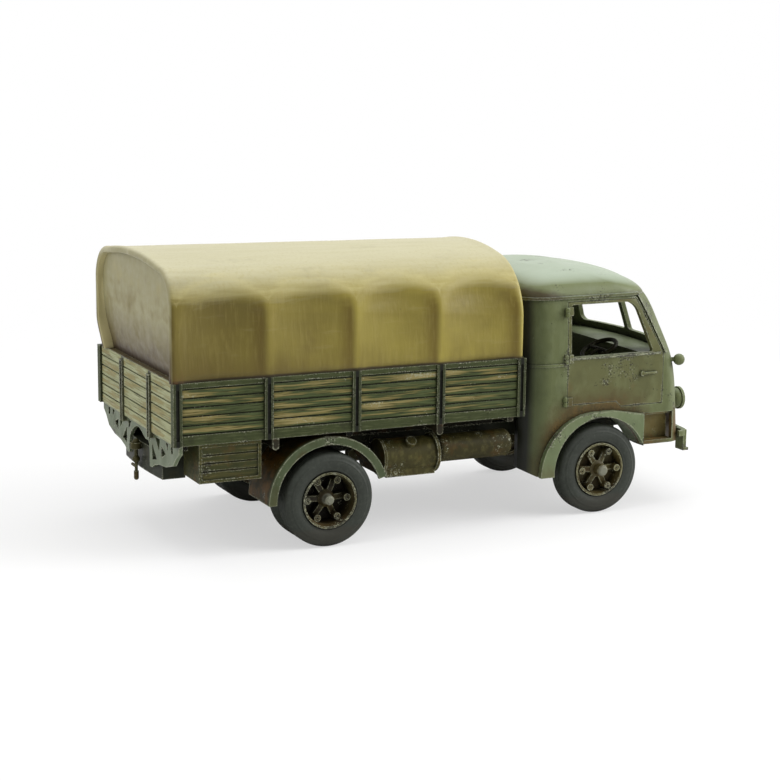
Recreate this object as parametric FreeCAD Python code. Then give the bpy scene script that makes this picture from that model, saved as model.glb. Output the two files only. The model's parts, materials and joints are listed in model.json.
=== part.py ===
import FreeCAD, Part
import math
import os

V = FreeCAD.Vector

# Driving sizes of the miniature lorry, in millimetres.
# x is counted forward, y to the lorry's left from the centre line, z up from the ground.
# The front axle anchors the cab; the bed ends just behind the cab; the rear axle lies the
# wheelbase behind the front one. Each value is used in one place only, or is tied from there.

# Axles and wheels
FRONT_AXLE_X = 80.92
WHEEL_BASE = 53.57
TYRE_RADIUS = 8.1
TYRE_WIDTH = 4.0
TYRE_SHOULDER = 0.9
TYRE_BEAD_IN = 0.4
RIM_RADIUS = 4.84
RIM_RING = 0.34
RIM_WALL = 0.62
RIM_SLOPE = 0.9
FRONT_FACE_OUT = 0.6
REAR_FACE_OUT = 0.05
TWIN_GAP = 0.5
SPOKES = 6
SPOKE_HALF = 0.5
SPINDLE_RADIUS = 0.9
BORE_PLAY = 0.06
HUB_RADIUS = 1.5
LUG_RING = 3.6
LUG_RADIUS = 0.6
LUG_DIMPLE = 0.17
DISC_THICK = 0.6
FRONT_DISH = 2.2
FRONT_CAP_RADIUS = 1.05
FRONT_CAP_PROUD = 1.35
REAR_DISH = 4.2
REAR_LUG_IN = 1.15
REAR_CAP_RADIUS = 0.8

# Load bed
BED_LENGTH = 64.3
BED_WIDTH = 41.0
BED_SIDE_TOP = 29.8
BED_SIDE_BOTTOM = 19.5
BED_WALL = 0.9
BED_BAYS = 4
POST_PROUD = 0.45
POST_WIDTH = 1.5
POST_SLOT = 0.6
POST_SLOT_DEEP = 0.3
BOTTOM_RAIL = 1.8
TOP_RAIL = 1.0
RAIL_PROUD = 0.12
PLANKS = 5
GROOVE_WIDTH = 0.25
GROOVE_DEPTH = 0.2
FLOOR_THICK = 0.9
BEARER_DEEP = 1.4
BEARER_WIDE = 1.2
BEARER_SHORT = 2.6
TAB_DROP = 1.95
TAB_IN = 0.25
TAB_LONG = 1.6
TAILGATE_IN = 0.45
TAILGATE_THICK = 1.2
TAILGATE_PLANKS = 6
STRAP_Y = 7.3
STRAP_WIDTH = 1.4
STRAP_WALL = 0.3
STRAP_PROUD = 0.42
STRAP_DROP = 1.0
STRAP_TOP_GAP = 0.5

# Cross plate below the tailgate
PLATE_X = 0.9
PLATE_THICK = 0.7
ARCH_HALF = 5.5
ARCH_FOOT_Z = 14.4
ARCH_TOP_Z = 18.7
# Share of the way from the arch's foot to the bed's corner, and the height
PLATE_EDGE = [(0.07, 13.2), (0.17, 13.9), (0.33, 14.5), (0.56, 14.8), (0.78, 15.7), (0.88, 17.2),
              (0.98, 18.2)]
PLATE_HOLES = [[(-0.08, 18.9), (0.04, 18.9), (0.01, 17.3)],
               [(0.08, 17.6), (0.09, 14.6), (0.25, 15.1)],
               [(0.19, 18.8), (0.36, 18.9), (0.33, 16.7)],
               [(0.41, 17.9), (0.41, 16.0), (0.55, 17.0)],
               [(0.55, 19.0), (0.63, 19.0), (0.62, 17.6)],
               [(0.72, 19.0), (0.79, 19.0), (0.79, 17.7), (0.73, 17.7)]]

# Towing pin
HOOK_SHANK_RADIUS = 0.55
HOOK_SHANK_Z = 16.2
HOOK_IN = 0.3
HOOK_JAW = 0.95
HOOK_JAW_THICK = 1.1
TOW_PIN_RADIUS = 0.42
TOW_PIN_LOW_Z = 9.6
TOW_PIN_HIGH_Z = 11.2
TOW_STEM_RADII = (0.26, 0.36)
TOW_NUT_RADIUS = 0.65
TOW_NUT_Z = 13.3
TOW_BAR_RADIUS = 0.26
TOW_BAR_LONG = 2.1
TOW_BAR_Z = 11.95

# Tilt cover, as insets from the half width and drops from the top line
TILT_OVERHANG = 0.3
TILT_SHORT = 0.4
TILT_IN = 0.1
TILT_TOP_REAR = 49.15
TILT_TOP_FRONT = 48.45
TILT_EDGE_ROUND = 0.7
TILT_WALL = 0.9
TILT_SAG = 0.35
TILT_RIM = 1.3
TILT_RECESS = 2.0
TILT_REAR_SHAPE = [(0.0, 6.9), (1.75, 3.0), (6.4, 1.1)]
TILT_FRONT_SHAPE = [(0.0, 11.2), (1.9, 5.9), (7.7, 1.6)]
TILT_SAG_SHARES = [0.2, 1.0, 0.5]

# Frame
RAIL_WIDTH = 1.6
RAIL_TOP = 16.3
RAIL_DEEP = 2.6
RAIL_CLEAR = 2.25
RAIL_REAR_IN = 1.65
RAIL_AHEAD = 16.1
CROSS_COUNT = 6
CROSS_WIDE = 1.4
CROSS_IN = 0.4
REAR_BLOCK_LONG = 4.0
REAR_BLOCK_LOW_Z = 11.7
REAR_BLOCK_NOSE = 0.5
MOUNT_LONG = 1.6
MOUNT_BEHIND = 13.4
MOUNT_AHEAD = 11.3

# Springs and axles
SPRING_HALF = 0.7
SPRING_LEAF = 0.45
SPRING_LEAVES = 4
FRONT_SPRING_REACH = 8.5
REAR_SPRING_REACH = 9.5
SPRING_RISE = 1.2
BEAM_HALF = 0.9
BEAM_DROP = 1.0
KINGPIN_HALF = 1.7
KINGPIN_RADIUS = 1.0
CASE_RADIUS = 1.4
DRUM_RADIUS = 2.2
DRUM_LONG = 1.0
BOWL_RADIUS = 3.0
SHAFT_RADIUS = 0.7
SHAFT_TOP_Z = 12.9

# Cab, as distances from the front axle
CAB_IN = 2.2
CAB_BEHIND = 15.72
CAB_GAP = 0.9
CAB_WALL = 0.9
CAB_REAR_ROUND = 5.5
CAB_FLOOR_Z = 18.6
CAB_FLOOR_THICK = 0.9
CAB_EAVE_Z = 39.2
CAB_SKIRT_Z = 7.6
CAB_NOSE_Z = 11.7
SKIRT_LONG = 5.8
SKIRT_RAMP = 3.4
BACK_PILLAR = 3.0
# Level, distance ahead of the axle at the corner, inset of the side, corner radius, bow of the nose
CAB_LEVELS = [
    (6.0, 18.08, 0.2, 3.0, 1.5),
    (14.0, 17.88, 0.1, 3.0, 1.5),
    (22.0, 17.18, 0.0, 3.0, 1.6),
    (28.3, 16.0, 0.0, 3.5, 2.1),
    (32.5, 14.45, 0.2, 4.4, 2.3),
    (36.0, 13.2, 0.4, 5.4, 2.3),
    (CAB_EAVE_Z, 11.68, 0.7, 6.6, 2.2),
]
# Rise over the eave, draw-in of front, side and rear, rear and front corner radius, bow
ROOF_LEVELS = [
    (0.0, 0.0, 0.0, 0.0, 5.5, 6.6, 2.2),
    (1.4, 1.2, 0.5, 0.2, 5.5, 6.6, 2.2),
    (2.7, 3.5, 1.6, 0.8, 5.4, 6.4, 2.0),
    (4.0, 8.0, 5.0, 2.2, 5.0, 5.8, 1.6),
    (4.65, 12.0, 9.0, 4.6, 4.0, 4.4, 1.0),
    (4.9, 14.5, 11.5, 7.0, 1.9, 2.1, 0.5),
]
DRIP_PROUD = 0.3
DRIP_HIGH = 0.5
DRIP_AHEAD = 8.0
BELT_PROUD = 0.2
BELT_Z = 27.6
BELT_HIGH = 0.5

# Doors and windows
DOOR_BEHIND = 6.92
DOOR_AHEAD = 13.15
DOOR_LOW_Z = 19.2
DOOR_OVER_WHEEL_Z = 20.2
DOOR_KNEE_AHEAD = 3.3
DOOR_KNEE_LONG = 1.1
DOOR_SLOPE_Z = 28.5
DOOR_TOP_AHEAD = 7.4
DOOR_TOP_Z = 38.7
DOOR_GAP = 0.1
SILL_Z = 28.8
WINDOW_TOP_Z = 38.1
WINDOW_BEHIND = 6.15
WINDOW_TOP_AHEAD = 6.9
WINDOW_LOW_AHEAD = 10.9
WINDOW_ROUND = 0.5
WINDOW_FRONT_ROUND = 2.0
SCREEN_LOW_Z = 29.8
SCREEN_TOP_Z = 38.1
SCREEN_POST_HALF = 0.6
SCREEN_LOW_IN = 4.8
SCREEN_TOP_IN = 6.8
SCREEN_ROUND = 1.1
SCREEN_INNER_ROUND = 0.5
HINGE_PROUD = 0.3
HINGE_WIDE = 0.9
HINGE_LONG = 1.5
HINGE_LEVELS = [37.0, 28.6, 20.9]
HANDLE_Z = 25.0
HANDLE_BEHIND_EDGE = 4.6
HANDLE_LONG = 3.0
HANDLE_HIGH = 0.45
HANDLE_PROUD = 0.55

# Fender, step, lamps, bumper and grille
ARCH_CLEAR = 1.5
FENDER_OUT = 1.0
FENDER_WIDE = 11.0
FENDER_SHIFT = 1.3
FENDER_DROP = 0.4
FENDER_TOP_Z = 18.7
FENDER_FRONT_Z = 17.6
FENDER_CREST = 2.6
FENDER_LINING = 0.7
FENDER_INNER = 5.1
STEP_AHEAD = 8.88
STEP_LONG = 6.8
STEP_TOP_Z = 17.5
STEP_DEEP = 2.7
STEP_PLATE = 0.7
STEP_WALL = 0.5
HEADLAMP_RADIUS = 2.1
HEADLAMP_LONG = 2.7
HEADLAMP_RIM = 0.5
HEADLAMP_PROUD = 2.3
HEADLAMP_IN = 4.3
HEADLAMP_Z = 18.9
MARKER_RADIUS = 1.05
MARKER_STALK = 0.4
MARKER_AHEAD = 16.75
MARKER_OUT = 0.4
MARKER_Z = 26.9
MARKER_ROOT_BACK = 2.3
MARKER_ROOT_IN = 1.3
BUMPER_AHEAD = 19.6
BUMPER_TOP_Z = 13.6
BUMPER_DEEP = 1.0
BUMPER_THICK = 0.7
BUMPER_OUT = 0.1
BUMPER_BOW = 1.2
BUMPER_END = 2.4
BUMPER_LEG = 2.5
BUMPER_LEG_LOW_Z = 9.7
BUMPER_FOOT = 0.5
ARM_HALF = 0.5
ARM_CLEAR = 0.15
GRILLE_HALF_TOP = 5.6
GRILLE_HALF_LOW = 4.6
GRILLE_LOW_Z = 14.4
GRILLE_TOP_Z = 26.0
GRILLE_FRAME = 0.6
GRILLE_PROUD = 0.45
GRILLE_BACK = 0.25
GRILLE_SLATS = 11
GRILLE_SLAT = 0.45

# Cab inside
SEAT_FRONT_BEHIND = 3.9
SEAT_HIGH = 4.6
SEAT_SIDE = 4.3
SEAT_BACK_THICK = 2.9
SEAT_BACK_HIGH = 13.0
SEAT_BACK_SIDE = 5.8
DASH_AHEAD = 9.6
DASH_TOP_Z = 28.4
DASH_SHELF = 1.8
DASH_PANEL = 1.1
DASH_PANEL_LOW_Z = 23.0
DASH_SIDE = 0.3
STEERING_IN = 10.1
COLUMN_FOOT_AHEAD = 10.1
COLUMN_HUB_AHEAD = 5.7
COLUMN_HUB_Z = 28.0
COLUMN_RADIUS = 0.5
STEERING_RADIUS = 3.3
STEERING_RIM = 0.4
STEERING_SPOKE = 0.3

# Mudguards, tool box and tanks
GUARD_OVER = 2.8
GUARD_THICK = 0.6
GUARD_LIP = 1.4
GUARD_LIP_WIDE = 0.5
GUARD_IN = 0.15
GUARD_WIDE = 9.4
GUARD_CLEAR = 0.1
GUARD_FRONT_CUT = 3.4
GUARD_STAY = 0.6
GUARD_STAY_Z = 14.6
GUARD_STAY_HIGH = 1.2
BOX_REAR_SHARE = 0.19
BOX_FRONT_SHARE = 0.084
BOX_IN = 0.7
BOX_DEEP = 7.2
BOX_LOW_Z = 13.0
BOX_PLANKS = 4
BOX_FRAME = 0.55
BOX_FRAME_PROUD = 0.2
TANK_GUARD_GAP = 0.1
TANK_RADIUS = 3.0
TANK_LONG = 10.6
TANK_Z = 13.5
TANK_IN = 5.2
TANK_BAND = 0.55
TANK_BAND_PROUD = 0.2
TANK_FLANGE_PROUD = 0.45
TANK_FLANGE = 0.6
TANK_CAP_RADIUS = 0.95
TANK_CAP_PROUD = 0.75
TANK_CAP_PLACE = 5.4
TANK_CAP_TURN = 38.0
CRADLE_HIGH = 1.35
CRADLE_OUT = 2.2
CRADLE_SHORT = 0.7
CRADLE_LOW_Z = 10.2
SECOND_TANK_RADIUS = 2.4
SECOND_TANK_Z = 14.0
SECOND_TANK_GAP = 0.5
SECOND_TANK_DOME = 0.9
CAB_TANK_GAP = 1.5
TANK_ARM = 0.9
TANK_ARM_HALF = 0.7
TANK_ARM_SHARE = 0.22

# Places that follow from the sizes above
AXLE_Z = TYRE_RADIUS
REAR_AXLE_X = FRONT_AXLE_X - WHEEL_BASE
CAB_REAR = FRONT_AXLE_X - CAB_BEHIND
BED_FRONT = CAB_REAR - CAB_GAP
BED_REAR = BED_FRONT - BED_LENGTH
HALF_BED = BED_WIDTH / 2.0
PANEL_Y = HALF_BED - POST_PROUD
INNER_Y = PANEL_Y - BED_WALL
CAB_HALF = HALF_BED - CAB_IN
FRONT_FACE_Y = CAB_HALF + FRONT_FACE_OUT
REAR_FACE_Y = HALF_BED + REAR_FACE_OUT
REAR_INNER_FACE_Y = REAR_FACE_Y - TYRE_WIDTH - TWIN_GAP
RAIL_Y = REAR_INNER_FACE_Y - TYRE_WIDTH - RAIL_CLEAR - RAIL_WIDTH / 2.0
RAIL_OUT = RAIL_Y + RAIL_WIDTH / 2.0
RAIL_LOW = RAIL_TOP - RAIL_DEEP
RAIL_REAR = BED_REAR + RAIL_REAR_IN
RAIL_FRONT = FRONT_AXLE_X + RAIL_AHEAD
BEARER_LOW = BED_SIDE_BOTTOM - BEARER_DEEP
TAILGATE_X = BED_REAR + TAILGATE_IN
TILT_REAR = BED_REAR - TILT_OVERHANG
TILT_FRONT = BED_FRONT - TILT_SHORT
TILT_HALF = HALF_BED - TILT_IN
ARCH_RADIUS = TYRE_RADIUS + ARCH_CLEAR
GUARD_RADIUS = TYRE_RADIUS + GUARD_OVER
GUARD_Y = -REAR_FACE_Y + GUARD_IN
SCREEN_LOW_OUT = CAB_HALF - SCREEN_LOW_IN
SCREEN_TOP_OUT = CAB_HALF - SCREEN_TOP_IN
SEAT_HALF = CAB_HALF - SEAT_SIDE
SEAT_BACK_HALF = CAB_HALF - SEAT_BACK_SIDE
STEP_REAR = FRONT_AXLE_X + STEP_AHEAD
STEP_FRONT = STEP_REAR + STEP_LONG
BUMPER_X = FRONT_AXLE_X + BUMPER_AHEAD
BUMPER_HALF = CAB_HALF + BUMPER_OUT
TANK_Y = -HALF_BED + TANK_IN
TANK_REAR = REAR_AXLE_X + GUARD_RADIUS + TANK_GUARD_GAP
TANK_FRONT = TANK_REAR + TANK_LONG
SECOND_REAR = TANK_FRONT + SECOND_TANK_GAP
SECOND_FRONT = CAB_REAR - CAB_TANK_GAP
HOOK_X = BED_REAR + HOOK_IN
HOOK_END = HOOK_X - HOOK_JAW
X_MIDDLE = (HOOK_END + BUMPER_X + BUMPER_BOW) / 2.0
FAR = 2.0 * (BED_LENGTH + WHEEL_BASE)

os.makedirs("parts", exist_ok=True)


# Plain building blocks

def box(x0, x1, y0, y1, z0, z1):
    """A block between two values along each axis."""
    return Part.makeBox(x1 - x0, y1 - y0, z1 - z0, V(x0, y0, z0))


def rod_y(x, z, y0, y1, radius):
    """A round bar along y."""
    return Part.makeCylinder(radius, y1 - y0, V(x, y0, z), V(0, 1, 0))


def rod_x(y, z, x0, x1, radius):
    """A round bar along x."""
    return Part.makeCylinder(radius, x1 - x0, V(x0, y, z), V(1, 0, 0))


def rod_z(x, y, z0, z1, radius):
    """A round bar along z."""
    return Part.makeCylinder(radius, z1 - z0, V(x, y, z0), V(0, 0, 1))


def prism_xz(points, y0, y1):
    """A flat outline seen from the side, drawn out along y."""
    corners = [V(x, y0, z) for x, z in points]
    return Part.Face(Part.makePolygon(corners + corners[:1])).extrude(V(0, y1 - y0, 0))


def prism_yz(points, x0, x1):
    """A flat outline seen from the rear, drawn out along x."""
    corners = [V(x0, y, z) for y, z in points]
    return Part.Face(Part.makePolygon(corners + corners[:1])).extrude(V(x1 - x0, 0, 0))


def turned_y(profile, x, z):
    """A closed outline of (radius, y) points turned about a line along y."""
    points = [V(x + r, y, z) for r, y in profile]
    return Part.Face(Part.makePolygon(points + points[:1])).revolve(V(x, 0, z), V(0, 1, 0), 360)


def turned_x(edges, y, z):
    """A closed outline drawn over the line through y and z, turned about that line along x."""
    return Part.Face(Part.Wire(edges)).revolve(V(0, y, z), V(1, 0, 0), 360)


def line(a, b):
    """A straight edge."""
    return Part.makeLine(a, b)


def arc(a, b, c):
    """A round edge through three points."""
    return Part.Arc(a, b, c).toShape()


def rounded(corners, rounds, run):
    """A flat outline with an arc at each corner, drawn out along a vector."""
    edges = []
    last = None
    for i, (corner, cut) in enumerate(zip(corners, rounds)):
        before = corners[i - 1] - corner
        after = corners[(i + 1) % len(corners)] - corner
        start = corner + before * (cut / before.Length)
        end = corner + after * (cut / after.Length)
        chord = (start + end) * 0.5
        lean = start.distanceToPoint(chord) / cut
        edges.append(arc(start, corner + (chord - corner) * (1.0 / (1.0 + lean)), end))
        if i == 0:
            first = start
        else:
            edges.append(line(last, start))
        last = end
    edges.append(line(last, first))
    wire = Part.Wire(Part.__sortEdges__(edges))
    return Part.Face(wire).extrude(run)


def other_side(shape):
    """The same form on the other side of the centre line."""
    return shape.mirror(V(0, 0, 0), V(0, 1, 0))


def joined(shapes):
    """Several solids as one."""
    first, rest = shapes[0], shapes[1:]
    return first.fuse(rest).removeSplitter() if rest else first


def save(name, shape):
    """Move a piece into the lorry's own frame and write it."""
    placed = shape.copy()
    placed.translate(V(-X_MIDDLE, 0, 0))
    if len(placed.Solids) == 1:
        placed = placed.Solids[0]
    print(name, len(placed.Solids), placed.isValid(), round(placed.Volume, 1))
    placed.exportStep("parts/%s.step" % name)


def save_pair(name, right):
    """Write a right-hand piece and its left-hand twin."""
    save(name + "_right", right)
    save(name + "_left", other_side(right))


# Load bed

def post_places():
    """The x of each side post's middle, from the rear corner to the front corner."""
    first = BED_REAR + POST_WIDTH / 2.0
    pitch = (BED_LENGTH - POST_WIDTH) / BED_BAYS
    return [first + pitch * i for i in range(BED_BAYS + 1)]


def joints_between(z0, z1, count):
    """Heights of the joints between a number of planks, both ends included."""
    pitch = (z1 - z0) / count
    return [z0 + pitch * i for i in range(count + 1)]


def side_post(x):
    """One upright channel outside the right-hand wall, with its open side outward."""
    half = POST_WIDTH / 2.0
    post = box(x - half, x + half, -HALF_BED, -PANEL_Y, BED_SIDE_BOTTOM, BED_SIDE_TOP)
    slot = box(x - POST_SLOT / 2.0, x + POST_SLOT / 2.0, -HALF_BED, -HALF_BED + POST_SLOT_DEEP,
               BED_SIDE_BOTTOM + TOP_RAIL, BED_SIDE_TOP - TOP_RAIL)
    return post.cut(slot)


def bed_side():
    """The right-hand wall: planks between a top rail and a bottom rail, and the posts outside."""
    z_low = BED_SIDE_BOTTOM + BOTTOM_RAIL
    z_high = BED_SIDE_TOP - TOP_RAIL
    wall = box(BED_REAR, BED_FRONT, -PANEL_Y, -INNER_Y, BED_SIDE_BOTTOM, BED_SIDE_TOP)
    cuts = []
    for z in joints_between(z_low, z_high, PLANKS):
        cuts.append(box(BED_REAR, BED_FRONT, -PANEL_Y, -PANEL_Y + GROOVE_DEPTH,
                        z - GROOVE_WIDTH / 2.0, z + GROOVE_WIDTH / 2.0))
    rails = [box(BED_REAR, BED_FRONT, -PANEL_Y - RAIL_PROUD, -PANEL_Y,
                 BED_SIDE_BOTTOM, z_low - GROOVE_WIDTH / 2.0),
             box(BED_REAR, BED_FRONT, -PANEL_Y - RAIL_PROUD, -PANEL_Y,
                 z_high + GROOVE_WIDTH / 2.0, BED_SIDE_TOP)]
    return joined([wall.cut(cuts)] + rails + [side_post(x) for x in post_places()])


def headboard():
    """The front wall between the two sides."""
    return box(BED_FRONT - BED_WALL, BED_FRONT, -INNER_Y, INNER_Y, BED_SIDE_BOTTOM, BED_SIDE_TOP)


def tailgate_strap(side):
    """An upright channel that stands proud of the tailgate and reaches down below it."""
    half = STRAP_WIDTH / 2.0
    y = side * STRAP_Y
    x1 = TAILGATE_X
    x0 = x1 - STRAP_PROUD
    top = BED_SIDE_TOP - STRAP_TOP_GAP
    low = BED_SIDE_BOTTOM - STRAP_DROP
    strap = box(x0, x1, y - half, y + half, low, top)
    strap = strap.fuse(box(x1, BED_REAR + PLATE_X, y - half, y + half, low, BED_SIDE_BOTTOM))
    inside = half - STRAP_WALL
    slot = box(x0, x1 - STRAP_WALL / 2.0, y - inside, y + inside, low, top - STRAP_WALL)
    return strap.cut(slot)


def tailgate():
    """The rear wall of planks with its two straps."""
    x0 = TAILGATE_X
    wall = box(x0, x0 + TAILGATE_THICK, -INNER_Y, INNER_Y, BED_SIDE_BOTTOM, BED_SIDE_TOP)
    cuts = []
    for z in joints_between(BED_SIDE_BOTTOM, BED_SIDE_TOP, TAILGATE_PLANKS)[1:-1]:
        cuts.append(box(x0, x0 + GROOVE_DEPTH, -INNER_Y, INNER_Y,
                        z - GROOVE_WIDTH / 2.0, z + GROOVE_WIDTH / 2.0))
    return joined([wall.cut(cuts), tailgate_strap(-1), tailgate_strap(1)])


def bed_floor():
    """Floor boards between the four walls."""
    return box(TAILGATE_X + TAILGATE_THICK, BED_FRONT - BED_WALL, -INNER_Y, INNER_Y,
               BED_SIDE_BOTTOM, BED_SIDE_BOTTOM + FLOOR_THICK)


def bearer_tab(x, side):
    """A small bracket that shows below the bed's side, round at its lower corners."""
    half = BEARER_WIDE / 2.0
    z0 = BED_SIDE_BOTTOM - TAB_DROP
    middle = (z0 + BED_SIDE_BOTTOM) / 2.0
    y0, y1 = sorted((side * (HALF_BED - TAB_IN), side * (HALF_BED - TAB_IN - TAB_LONG)))
    foot = rod_y(x, z0 + half, y0, y1, half)
    return foot.fuse(box(x - half, x + half, y0, y1, min(middle, z0 + half), BED_SIDE_BOTTOM))


def bed_bearers():
    """Two long bearers on the rails, cross bearers over them, and the brackets at their ends."""
    ends = post_places()
    half = BEARER_WIDE / 2.0
    x0 = RAIL_REAR + BEARER_WIDE
    x1 = BED_FRONT - BEARER_WIDE
    pieces = []
    for side in (-1, 1):
        y0 = side * RAIL_Y - RAIL_WIDTH / 2.0
        pieces.append(box(x0 - half, x1 + half, y0, y0 + RAIL_WIDTH, RAIL_TOP, BEARER_LOW))
    for x in (x0, ends[2], x1):
        reach = PANEL_Y - BEARER_SHORT
        pieces.append(box(x - half, x + half, -reach, reach, BEARER_LOW, BED_SIDE_BOTTOM))
    for x in (ends[1] + BEARER_WIDE, ends[3]):
        reach = HALF_BED - TAB_IN
        pieces.append(box(x - half, x + half, -reach, reach, BEARER_LOW, BED_SIDE_BOTTOM))
        pieces += [bearer_tab(x, -1), bearer_tab(x, 1)]
    guard = rod_y(REAR_AXLE_X, AXLE_Z, -FAR, -RAIL_OUT, GUARD_RADIUS + GUARD_CLEAR)
    return joined(pieces).cut([guard, other_side(guard)])


# Cross plate below the tailgate

def arch_outline(x):
    """The plate's arch: straight feet and a half round crown, closed below."""
    low = PLATE_EDGE[0][1] - ARCH_HALF
    left, right = V(x, ARCH_HALF, ARCH_FOOT_Z), V(x, -ARCH_HALF, ARCH_FOOT_Z)
    rise = ARCH_TOP_Z - ARCH_FOOT_Z
    k = math.sqrt(0.5)
    crown = Part.BSplineCurve()
    crown.interpolate([left, V(x, ARCH_HALF * k, ARCH_FOOT_Z + rise * k), V(x, 0, ARCH_TOP_Z),
                       V(x, -ARCH_HALF * k, ARCH_FOOT_Z + rise * k), right],
                      InitialTangent=V(0, 0, 1), FinalTangent=V(0, 0, -1))
    foot_left, foot_right = V(x, ARCH_HALF, low), V(x, -ARCH_HALF, low)
    return Part.Wire([crown.toShape(), line(right, foot_right), line(foot_right, foot_left),
                      line(foot_left, left)])


def plate_points(shares):
    """Points on the plate's left wing, from shares of the way out from the arch to the corner."""
    return [(ARCH_HALF + share * (HALF_BED - ARCH_HALF), z) for share, z in shares]


def rear_plate():
    """The pressed cross plate with a tall arch and rows of holes."""
    x0 = BED_REAR + PLATE_X
    x1 = x0 + PLATE_THICK
    top = BED_SIDE_BOTTOM
    low = plate_points(PLATE_EDGE)
    edge = low[-1][0]
    outline = [(-y, z) for y, z in reversed(low)] + low + [(edge, top), (-edge, top)]
    plate = prism_yz(outline, x0, x1)
    cuts = [Part.Face(arch_outline(x0 - PLATE_THICK)).extrude(V(3 * PLATE_THICK, 0, 0))]
    for hole in [plate_points(shares) for shares in PLATE_HOLES]:
        cuts.append(prism_yz(hole, x0 - PLATE_THICK, x1 + PLATE_THICK))
        cuts.append(prism_yz([(-y, z) for y, z in hole], x0 - PLATE_THICK, x1 + PLATE_THICK))
    return plate.cut(cuts + [rear_block()])


def tow_hook():
    """The towing pin: a shank from the frame, a round jaw, and a tapered stem with nut, cross bar and pin."""
    z = HOOK_SHANK_Z
    root = RAIL_REAR + REAR_BLOCK_LONG / 2.0
    low = z - HOOK_JAW_THICK
    shank = rod_x(0, z - HOOK_SHANK_RADIUS, HOOK_X, RAIL_REAR - REAR_BLOCK_NOSE, HOOK_SHANK_RADIUS)
    stem = rod_x(0, z - HOOK_SHANK_RADIUS, HOOK_X, root, HOOK_SHANK_RADIUS / 2.0)
    jaw = rod_z(HOOK_X, 0, low, z, HOOK_JAW)
    head = Part.makeSphere(TOW_PIN_RADIUS * 1.5, V(HOOK_X, 0, z))
    stem_low = TOW_PIN_HIGH_Z - TOW_PIN_RADIUS
    thin = Part.makeCone(TOW_STEM_RADII[0], TOW_STEM_RADII[1], z - stem_low, V(HOOK_X, 0, stem_low))
    pin = rod_z(HOOK_X, 0, TOW_PIN_LOW_Z + TOW_PIN_RADIUS, TOW_PIN_HIGH_Z, TOW_PIN_RADIUS)
    tip = Part.makeSphere(TOW_PIN_RADIUS, V(HOOK_X, 0, TOW_PIN_LOW_Z + TOW_PIN_RADIUS))
    nut = Part.makeSphere(TOW_NUT_RADIUS, V(HOOK_X, 0, TOW_NUT_Z))
    bar = rod_y(HOOK_X, TOW_BAR_Z, 0, TOW_BAR_LONG, TOW_BAR_RADIUS)
    return joined([shank, stem, jaw, head, thin, pin, tip, nut, bar]).cut(rear_block())


# Tilt cover

def tilt_half_points(share, shrink, sag):
    """Shoulder foot, shoulder middle and shoulder end of the outline, and the height of its top."""
    top = TILT_TOP_REAR + (TILT_TOP_FRONT - TILT_TOP_REAR) * share
    points = []
    for rear, front, lean, weight in zip(TILT_REAR_SHAPE, TILT_FRONT_SHAPE, (0.0, 0.7, 0.95),
                                         TILT_SAG_SHARES):
        inset = rear[0] + (front[0] - rear[0]) * share
        drop = rear[1] + (front[1] - rear[1]) * share
        points.append((TILT_HALF - inset - shrink * math.sqrt(1 - lean ** 2) - sag * weight * 0.5,
                       top - drop - shrink * lean - sag * weight))
    return points, top - shrink


def tilt_wire(x, z0, shrink, sag=0.0):
    """The cover's closed outline at one place: upright sides, round shoulders, a bowed crown."""
    share = (x - TILT_REAR) / (TILT_FRONT - TILT_REAR)
    half, top = tilt_half_points(share, shrink, sag)
    right = [V(x, -y, z) for y, z in half]
    left = [V(x, y, z) for y, z in half]
    right_foot, left_foot = V(x, right[0].y, z0), V(x, left[0].y, z0)
    return Part.Wire([line(right_foot, right[0]), arc(*right), arc(right[2], V(x, 0, top), left[2]),
                      arc(left[2], left[1], left[0]), line(left[0], left_foot),
                      line(left_foot, right_foot)])


def tilt_body(z0, shrink, x0, x1):
    """The cover's form from end to end, drawn in a little between the bows."""
    places = post_places()
    stations = [(x0, 0.0)]
    for i in range(BED_BAYS):
        stations.append(((places[i] + places[i + 1]) / 2.0, TILT_SAG))
        if i < BED_BAYS - 1:
            stations.append((places[i + 1], 0.0))
    stations.append((x1, 0.0))
    return Part.makeLoft([tilt_wire(x, z0, shrink, sag) for x, sag in stations], True, False)


def tilt():
    """The cover as one hollow casting on the bed's walls, its rear flap set in behind a rim."""
    z0 = BED_SIDE_TOP
    outer = tilt_body(z0, 0.0, TILT_REAR + TILT_EDGE_ROUND, TILT_FRONT)
    edge = Part.makeLoft([tilt_wire(TILT_REAR, z0, TILT_EDGE_ROUND),
                          tilt_wire(TILT_REAR + TILT_EDGE_ROUND / 3.0, z0, TILT_EDGE_ROUND / 4.0),
                          tilt_wire(TILT_REAR + TILT_EDGE_ROUND, z0, 0.0)], True, True)
    below = z0 - TILT_WALL
    inner = tilt_body(below, TILT_WALL, TILT_REAR + TILT_RECESS + TILT_WALL, TILT_FRONT - TILT_WALL)
    flap = Part.Face(tilt_wire(TILT_REAR, below, TILT_RIM + TILT_EDGE_ROUND)).extrude(
        V(TILT_RECESS, 0, 0))
    return joined([outer, edge]).cut([inner, flap])


# Cab shell

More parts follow.
